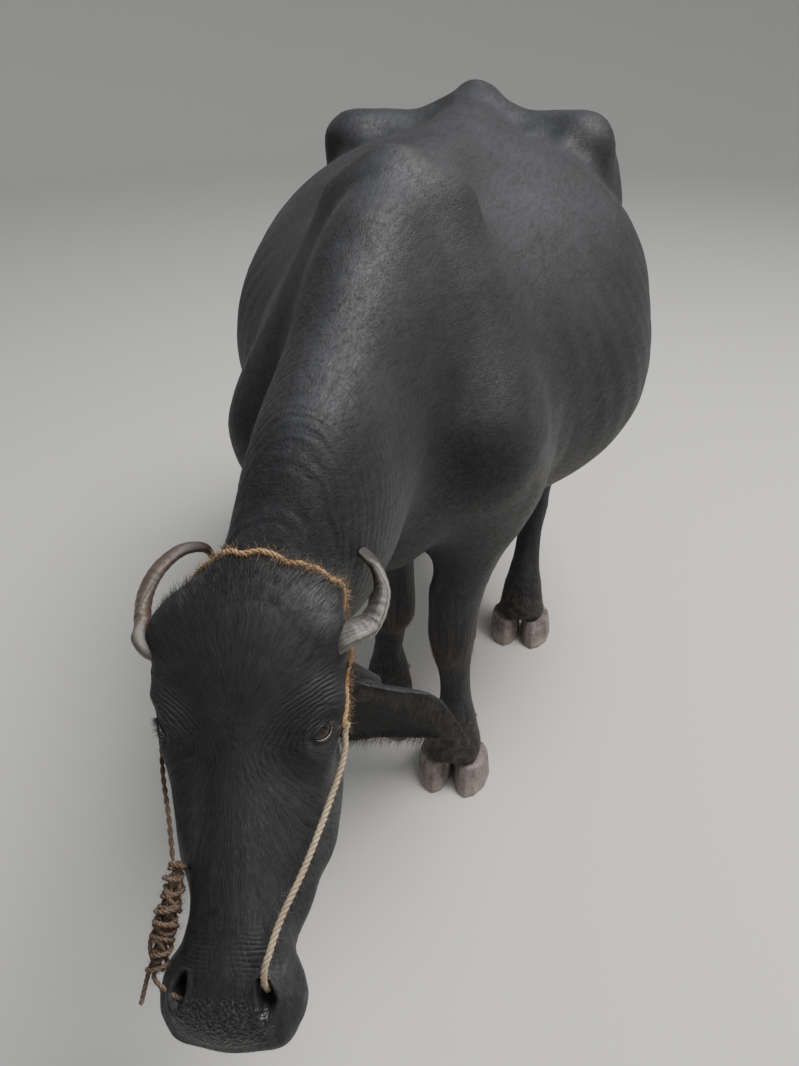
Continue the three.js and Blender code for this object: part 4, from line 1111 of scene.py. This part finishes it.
# Tufts: short bent blades set over a surface, leaning the way its coat lies
def tuftGroup():
    tree, given = newGroup("tufts", Density="Float", Length="Float", Lift="Float", Width="Float", Seed="Int",
                           Material="Material")
    dense = attributeOf(tree, "hairDense")
    long = attributeOf(tree, "hairLong")
    flow = attributeOf(tree, "flow", "FLOAT_VECTOR")
    patch = attributeOf(tree, "patch", "FLOAT_VECTOR")
    density = times(tree, dense, given["Density"])
    roots = addNode(tree, "GeometryNodeDistributePointsOnFaces",
                    {"Mesh": given["Geometry"], "Density": density, "Seed": given["Seed"]})
    keep = result(tree, "GeometryNodeStoreNamedAttribute",
                  {"Geometry": roots.outputs["Points"], "Name": "rootPatch", "Value": patch},
                  data_type="FLOAT_VECTOR", domain="POINT")
    arc = result(tree, "GeometryNodeCurveQuadraticBezier",
                 {"Resolution": 4, "Start": (0, 0, -0.08), "Middle": (0.0, 0.16, 0.5),
                  "End": (0.0, -0.02, 1.0)})
    factor = addNode(tree, "GeometryNodeSplineParameter").outputs["Factor"]
    half = result(tree, "ShaderNodeCombineXYZ", {0: given["Width"]})
    ring = result(tree, "GeometryNodeCurvePrimitiveLine", {"Start": scaled(tree, half, -1.0), "End": half})
    taper = calc(tree, "SUBTRACT", 1.05, factor)
    blade = swept(tree, arc, ring, {"Scale": taper})
    lean = vectorCalc(tree, "ADD", flow, scaled(tree, roots.outputs["Normal"], given["Lift"]))
    lean = vectorCalc(tree, "ADD", lean,
                      drawn(tree, (-0.22, -0.22, -0.22), (0.22, 0.22, 0.22), 3, "FLOAT_VECTOR"))
    turn = result(tree, "FunctionNodeAlignRotationToVector", {"Vector": lean}, axis="Z")
    turn = result(tree, "FunctionNodeAlignRotationToVector",
                  {"Rotation": turn, "Vector": roots.outputs["Normal"]}, axis="Y", pivot_axis="Z")
    scale = times(tree, times(tree, given["Length"], long), drawn(tree, 0.55, 1.0, 5))
    made = result(tree, "GeometryNodeInstanceOnPoints",
                  {"Points": keep, "Instance": blade, "Rotation": turn, "Scale": scale})
    real = result(tree, "GeometryNodeRealizeInstances", {0: made})
    corner = attributeOf(tree, "rootPatch", "FLOAT_VECTOR")
    jitter = drawn(tree, (0.0, 0.0, 0.0), (0.003, 0.003, 0.0), 9, "FLOAT_VECTOR")
    stored = result(tree, "GeometryNodeStoreNamedAttribute",
                    {"Geometry": real, "Name": "OFBake", "Value": vectorCalc(tree, "ADD", corner, jitter)},
                    data_type="FLOAT2", domain="CORNER")
    gone = result(tree, "GeometryNodeRemoveAttribute", {"Geometry": stored, "Name": "rootPatch"})
    closeGroup(tree, gone, given["Material"])
    return tree


# Hair and coat colours, dark and light
hairColors = {
    "coat": ((0.005, 0.005, 0.005, 1), (0.078, 0.072, 0.068, 1)),
    "coat_legs": ((0.006, 0.005, 0.005, 1), (0.12, 0.072, 0.05, 1)),
    "tail_hair": ((0.008, 0.007, 0.006, 1), (0.05, 0.035, 0.027, 1)),
    "ear_hair": ((0.02, 0.019, 0.018, 1), (0.15, 0.13, 0.115, 1)),
}


def makeHairMaterial(name):
    dark, light = hairColors[name]
    material, tree, shader = newMaterial(name, Roughness=0.55)
    where = objectPlace(tree)
    tone = speckle(tree, where, 90.0, 4.0, 0.7, 0.35, 0.68)
    wire(shader, Base_Color=mixColor(tree, tone, dark, light))
    return material


# Where the coat stands off the skin, and which way it lies
coatLook = {"Density": 60000.0, "Length": 0.020, "Lift": 0.22, "Width": 0.017, "Seed": 6}
coatShare = {"head": 2.4, "neck": 0.9, "legs": 0.95, "trunk_left": 0.42, "trunk_right": 0.42}
coatDense = {"body": 0.42, "face": 0.55, "nape": 0.45, "brow": 0.5, "chin": 0.35, "fetlock": 0.8,
             "belly": 0.35, "legs": 0.4, "tail": 0.8}
coatPlaces = {"parting": 150, "knee": 0.340, "fetlock": 0.115, "lowest": 0.50}


def flowOver(points, normals):
    head = inHead(points)
    away = np.stack([head[:, 0], head[:, 1] - coatPlaces["parting"], np.zeros(len(head))], 1)
    faceFlow = unit(away) @ headAxes
    onFace = (ramp(head[:, 1], -20, 40) * within(head, faceMiddle, 330, 300))[:, None]
    low = ramp(-points[:, 2], -0.62, -0.42)[:, None]
    flow = vec(0, 0.8, -0.6) * (1 - low) + vec(0, 0.05, -1) * low
    flow = flow * (1 - onFace) + faceFlow * onFace
    return unit(flow - normals * np.sum(flow * normals, axis=1, keepdims=True))


def coatBase():
    mesh = skin.data.copy()
    points, normals = readPoints(mesh), readNormals(mesh)
    head = inHead(points)
    x, y, z = points.T
    u, v, w = head.T
    onFace = ramp(v, -40, 30) * within(head, faceMiddle, 330, 300)
    poll = hill(v, 6, 34) * (w > -90) * (np.abs(u) < 120)
    nape = hill(x, -0.05, 0.07) * (y < -0.30) * (y > -0.83) * ramp(normals[:, 2], 0.2, 0.8)
    brow = onFace * ramp(w, -120, -60) * ramp(-v, -330, -150)
    chin = np.exp(-(farFrom(head, vec(0, 450, -120)) / 45) ** 2)
    knee = hill(z, coatPlaces["knee"], 0.022) * (y < 0.12)
    fetlock = hill(z, coatPlaces["fetlock"], 0.045)
    belly = ramp(-z, -0.60, -0.50) * (z > 0.46) * (y > -0.1) * ramp(-normals[:, 2], 0.1, 0.7)
    legs = ramp(-z, -0.50, -0.40)
    tail = (y > 0.99) * (z < 1.05) * (z > 0.40)
    cover = {"body": 1 - onFace, "face": onFace, "nape": nape, "brow": brow, "chin": chin, "fetlock": fetlock,
             "belly": belly, "legs": legs, "tail": tail}
    dense = np.maximum.reduce([poll, knee, *(cover[key] * share for key, share in coatDense.items())])
    eyes = np.minimum(*(farFrom(head, eyeLook["centre"] * vec(side, 1, 1)) for side in (1, -1)))
    dense *= ramp(eyes, 24, 40) * ramp(np.linalg.norm((head - padMiddle) / padSize, axis=1), 1.0, 1.25)
    length = 0.35 + 1.1 * poll + 0.45 * nape + 0.8 * knee + 0.55 * fetlock
    length += 0.35 * belly + 0.25 * tail + 0.2 * chin
    setMask(mesh, "hairDense", dense)
    setMask(mesh, "hairLong", np.minimum(length, 1.45))
    setVectors(mesh, "flow", flowOver(points, normals))
    around = np.arctan2(x, z - 0.85) / (2 * math.pi) + 0.5
    patch = np.stack([0.02 + 0.94 * (y + 1.15) / 2.35, 0.02 + 0.94 * around, np.zeros(len(x))], 1)
    setVectors(mesh, "patch", patch)
    return mesh


def makeCoat():
    material = makeHairMaterial("coat")
    russet = makeHairMaterial("coat_legs")
    group = tuftGroup()
    whole = coatBase()
    points = readPoints(whole)
    head = inHead(points)
    onFace = (head[:, 1] > 25) & (farFrom(head, faceMiddle) < 330)
    low = points[:, 2] < coatPlaces["lowest"]
    ahead, onLeft, high = points[:, 1] < -0.30, points[:, 0] > 0, ~onFace & ~low
    regions = {"head": onFace, "legs": low & ~onFace, "neck": high & ahead,
               "trunk_left": high & ~ahead & onLeft, "trunk_right": high & ~ahead & ~onLeft}
    dense = np.zeros(len(points), np.float32)
    whole.attributes["hairDense"].data.foreach_get("value", dense)
    for name, chosen in regions.items():
        base = whole.copy()
        base.attributes["hairDense"].data.foreach_set("value", dense * chosen)
        worn = russet if name == "legs" else material
        values = dict(coatLook, Material=worn)
        values["Density"] *= coatShare[name]
        grown("coat_" + name, base, group, worn, values)


# The tail's switch, the ears' fringes and the lashes are guide paths filled by the same group
switchLook = {"Hairs": 90, "Spread": 0.010, "Gather": 0.5, "Thick": 0.00045, "Points": 9, "Seed": 3}
fringeLook = {"Hairs": 5, "Spread": 0.0045, "Gather": 0.6, "Thick": 0.00022, "Points": 6, "Seed": 4}
lashLook = {"Hairs": 3, "Spread": 0.0012, "Gather": 0.6, "Thick": 0.00022, "Points": 6, "Seed": 5}


guideCounts = {"switch": 26, "fringe": 120, "hollow": 260, "lashes": 26}


def switchGuides():
    low, high = (vec(*corner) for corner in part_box("tail_switch"))
    top = vec((low[0] + high[0]) / 2, (low[1] + high[1]) / 2, high[2])
    draw = random.Random(8)
    guides = []
    count = guideCounts["switch"]
    for n in range(count):
        angle = n * 2.4
        way = vec(math.cos(angle), math.sin(angle), 0)
        start = top - worldUp * (0.002 + 0.15 * (n / count) ** 1.2) + way * 0.008
        reach = min(0.30, start[2] - low[2] - 0.004) * draw.uniform(0.75, 1.0)
        swell = draw.uniform(0.014, 0.024)
        sway = vec(draw.uniform(-0.008, 0.008), 0, 0)
        upper, lower = way * swell * 0.8 - worldUp * reach * 0.35, way * swell - worldUp * reach * 0.7
        tip = start + way * swell * 0.3 + sway - worldUp * reach
        guides.append(curveThrough([start, start + upper, start + lower, tip], 9))
    return guides


def fringeGuides(name):
    _, along, face, wide = earFrame(name)
    lower = 1 if wide[2] < 0 else -1
    draw = random.Random(9)
    guides = []
    count = guideCounts["fringe"]
    for n in range(count):
        t = 0.05 + 0.78 * n / (count - 1)
        root = earPoint(name, t, lower * 0.96, earLook["thickness"] * 0.5)
        reach = draw.uniform(0.010, 0.026)
        way = unit(wide * lower * 0.7 - worldUp * draw.uniform(0.4, 0.9) + along * draw.uniform(-0.1, 0.3))
        guides.append(curveThrough([root - way * 0.004, root + way * reach * 0.5, root + way * reach * 0.8
                                    - worldUp * reach * 0.3], 6))
    count = guideCounts["hollow"]
    for n in range(count):
        t = 0.04 + 0.8 * n / (count - 1)
        root = earPoint(name, t, -lower * draw.uniform(0.15, 0.97), earLook["thickness"])
        reach = draw.uniform(0.012, 0.024)
        way = unit(wide * lower * draw.uniform(0.6, 1.0) + face * 0.35 + along * draw.uniform(0.2, 0.7))
        guides.append(curveThrough([root - way * 0.003, root + way * reach * 0.5 + face * 0.001, root
                                    + way * reach - worldUp * reach * 0.25], 6))
    return guides


def lashGuides():
    guides = []
    count = guideCounts["lashes"]
    draw = random.Random(10)
    for side in (1, -1):
        centre, gaze, long, short = eyeWays(side)
        for n in range(count):
            a = (-0.7 + 1.6 * n / (count - 1)) * eyeLook["length"] * 0.95
            half = eyeLook["height"] * eyeLook["upper"] * max(0.0, 1 - (a / eyeLook["length"]) ** 2) ** 0.8
            toward = unit(gaze * eyeLook["radius"] + long * a + short * half)
            root = centre + toward * (eyeLook["radius"] + 2.0)
            reach = draw.uniform(9, 14)
            way = unit(gaze * 0.9 - short * 0.35 + long * (a / 30 + draw.uniform(-0.12, 0.12)))
            path = (root, root + way * reach * 0.5 - short * 1.2, root + way * reach - short * 0.5)
            guides.append(curveThrough([onHead(p) for p in path], 6))
    return guides


def makeLocks():
    group = lockGroup()
    dark = makeHairMaterial("tail_hair")
    grey = makeHairMaterial("ear_hair")
    switch = grown("switch_hair", curveOf(switchGuides()), group, dark,
                   dict(switchLook, Material=dark))
    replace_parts(switch, "tail_switch")
    for name in ("left", "right"):
        grown("ear_fringe_" + name, curveOf(fringeGuides(name)), group, grey,
              dict(fringeLook, Material=grey))
    grown("lashes", curveOf(lashGuides()), group, dark, dict(lashLook, Material=dark))


# Lid margins: a thin moist rim round each slit, paler below
lidLook = {"around": 120, "sides": 10, "radius": 0.75, "reach": 0.3, "dark": (0.010, 0.009, 0.009, 1),
           "pale": (0.22, 0.185, 0.17, 1)}


def makeLids():
    material, tree, shader = newMaterial("lid_rim", Roughness=0.25)
    where = objectPlace(tree)
    pale = maskOf(tree, "pale")
    speck = noise(tree, where, 300.0, 3.0)
    color = mixColor(tree, times(tree, pale, plus(tree, speck, 0.3)), lidLook["dark"], lidLook["pale"])
    wire(shader, Base_Color=color)
    for side, name in ((1, "left"), (-1, "right")):
        centre, gaze, long, short = eyeWays(side)
        count, sides = lidLook["around"], lidLook["sides"]
        points, tint = [], []
        angle = np.linspace(0, 2 * math.pi, count, endpoint=False)
        a = np.cos(angle) * eyeLook["length"]
        half = (1 - np.minimum((a / eyeLook["length"]) ** 2, 1)) ** 0.8
        b = np.where(np.sin(angle) > 0, eyeLook["upper"], -eyeLook["lower"]) * eyeLook["height"] * half
        for m in range(count):
            way = unit(gaze * eyeLook["radius"] + long * a[m] + short * b[m])
            across = unit(long * a[m] + short * b[m] * 1.5)
            for k in range(sides):
                turn = k / sides * 2 * math.pi
                high = eyeLook["radius"] + 0.9 + math.sin(turn)
                wide = lidLook["reach"] + lidLook["radius"] * math.cos(turn)
                points.append(onHead(centre + way * high + across * wide))
                tint.append(float(b[m] < 0) * ramp(math.sin(turn), 0.1, 0.6) * ramp(half[m], 0.1, 0.6))
        mesh = meshFrom("lid", points, ringFaces(count, sides, True))
        setMask(mesh, "pale", tint)
        finishPiece("lid_margin_" + name, mesh, material)


makeHorns(makeHornMaterial())
for earName in ("left", "right"):
    makeEar(earName, hide)
makeHooves(makeHoofMaterial())
print("horns, ears and hooves made")
makeRopes()
makeLocks()
makeLids()
makeCoat()
print("ropes, locks, lids and coat made")


# Camera, floor and light
cameraLook = {"place": vec(0.305, -1.580, 1.484), "pitch": 31.7, "yaw": -12.2, "roll": -1.1, "lens": 30.7,
              "sensor": 36.0}


def makeCamera():
    pitch, yaw, roll = (math.radians(cameraLook[key]) for key in ("pitch", "yaw", "roll"))
    ahead = vec(math.sin(yaw) * math.cos(pitch), math.cos(yaw) * math.cos(pitch), -math.sin(pitch))
    right = vec(math.cos(yaw), -math.sin(yaw), 0)
    up = np.cross(right, ahead)
    right, up = right * math.cos(roll) + up * math.sin(roll), up * math.cos(roll) - right * math.sin(roll)
    camera = placed("camera", bpy.data.cameras.new("camera"))
    facing = Matrix((right, up, -ahead)).transposed().to_4x4()
    camera.matrix_world = Matrix.Translation(cameraLook["place"]) @ facing
    camera.data.lens = cameraLook["lens"]
    camera.data.sensor_width = cameraLook["sensor"]
    bpy.context.scene.camera = camera


stageLook = {"flat": 7.0, "bend": 3.0, "height": 9.0, "sides": 96, "floor": (0.55, 0.53, 0.50, 1),
             "sky": (0.86, 0.92, 1.0, 1), "skyStrength": 0.62}
lightLook = {"key": ((1.6, 0.6, 4.6), (0, 0, 0.8), 2.2, 330.0),
             "fill": ((2.5, -3.0, 2.5), (0, -0.8, 0.6), 2.0, 26.0)}


def makeLight(name, place, target, size, power):
    data = bpy.data.lights.new(name, "AREA")
    data.energy, data.size = power, size
    light = placed(name, data)
    light.location = place
    light.rotation_euler = (Vector(target) - Vector(place)).to_track_quat("-Z", "Y").to_euler()


def makeStage():
    material = newMaterial("floor", Roughness=0.9, Base_Color=stageLook["floor"])[0]
    bend = np.linspace(0, math.pi / 2, 13)
    profile = [(0.01, 0.0), (3.0, 0.0), (6.0, 0.0)]
    flat, radius = stageLook["flat"], stageLook["bend"]
    profile += [(flat + radius * math.sin(t), radius * (1 - math.cos(t))) for t in bend]
    profile.append((flat + radius, stageLook["height"]))
    sides = stageLook["sides"]
    turns = np.arange(sides) / sides * 2 * math.pi
    points = [(r * math.cos(turn), r * math.sin(turn), h) for r, h in profile for turn in turns]
    faces = [tuple(reversed(face)) for face in ringFaces(len(profile), sides)] + [tuple(range(sides))]
    mesh = meshFrom("floor", points, faces)
    mesh.polygons.foreach_set("use_smooth", [True] * len(mesh.polygons))
    mesh.materials.append(material)
    floor = placed("floor", mesh)
    world = bpy.data.worlds.new("sky")
    bpy.context.scene.world = world
    world.use_nodes = True
    background = {"Color": stageLook["sky"], "Strength": stageLook["skyStrength"]}
    setInputs(world.node_tree, world.node_tree.nodes["Background"], background)
    for name, (place, target, size, power) in lightLook.items():
        makeLight(name, place, target, size, power)
    print("camera, floor and lights made")


makeCamera()
makeStage()
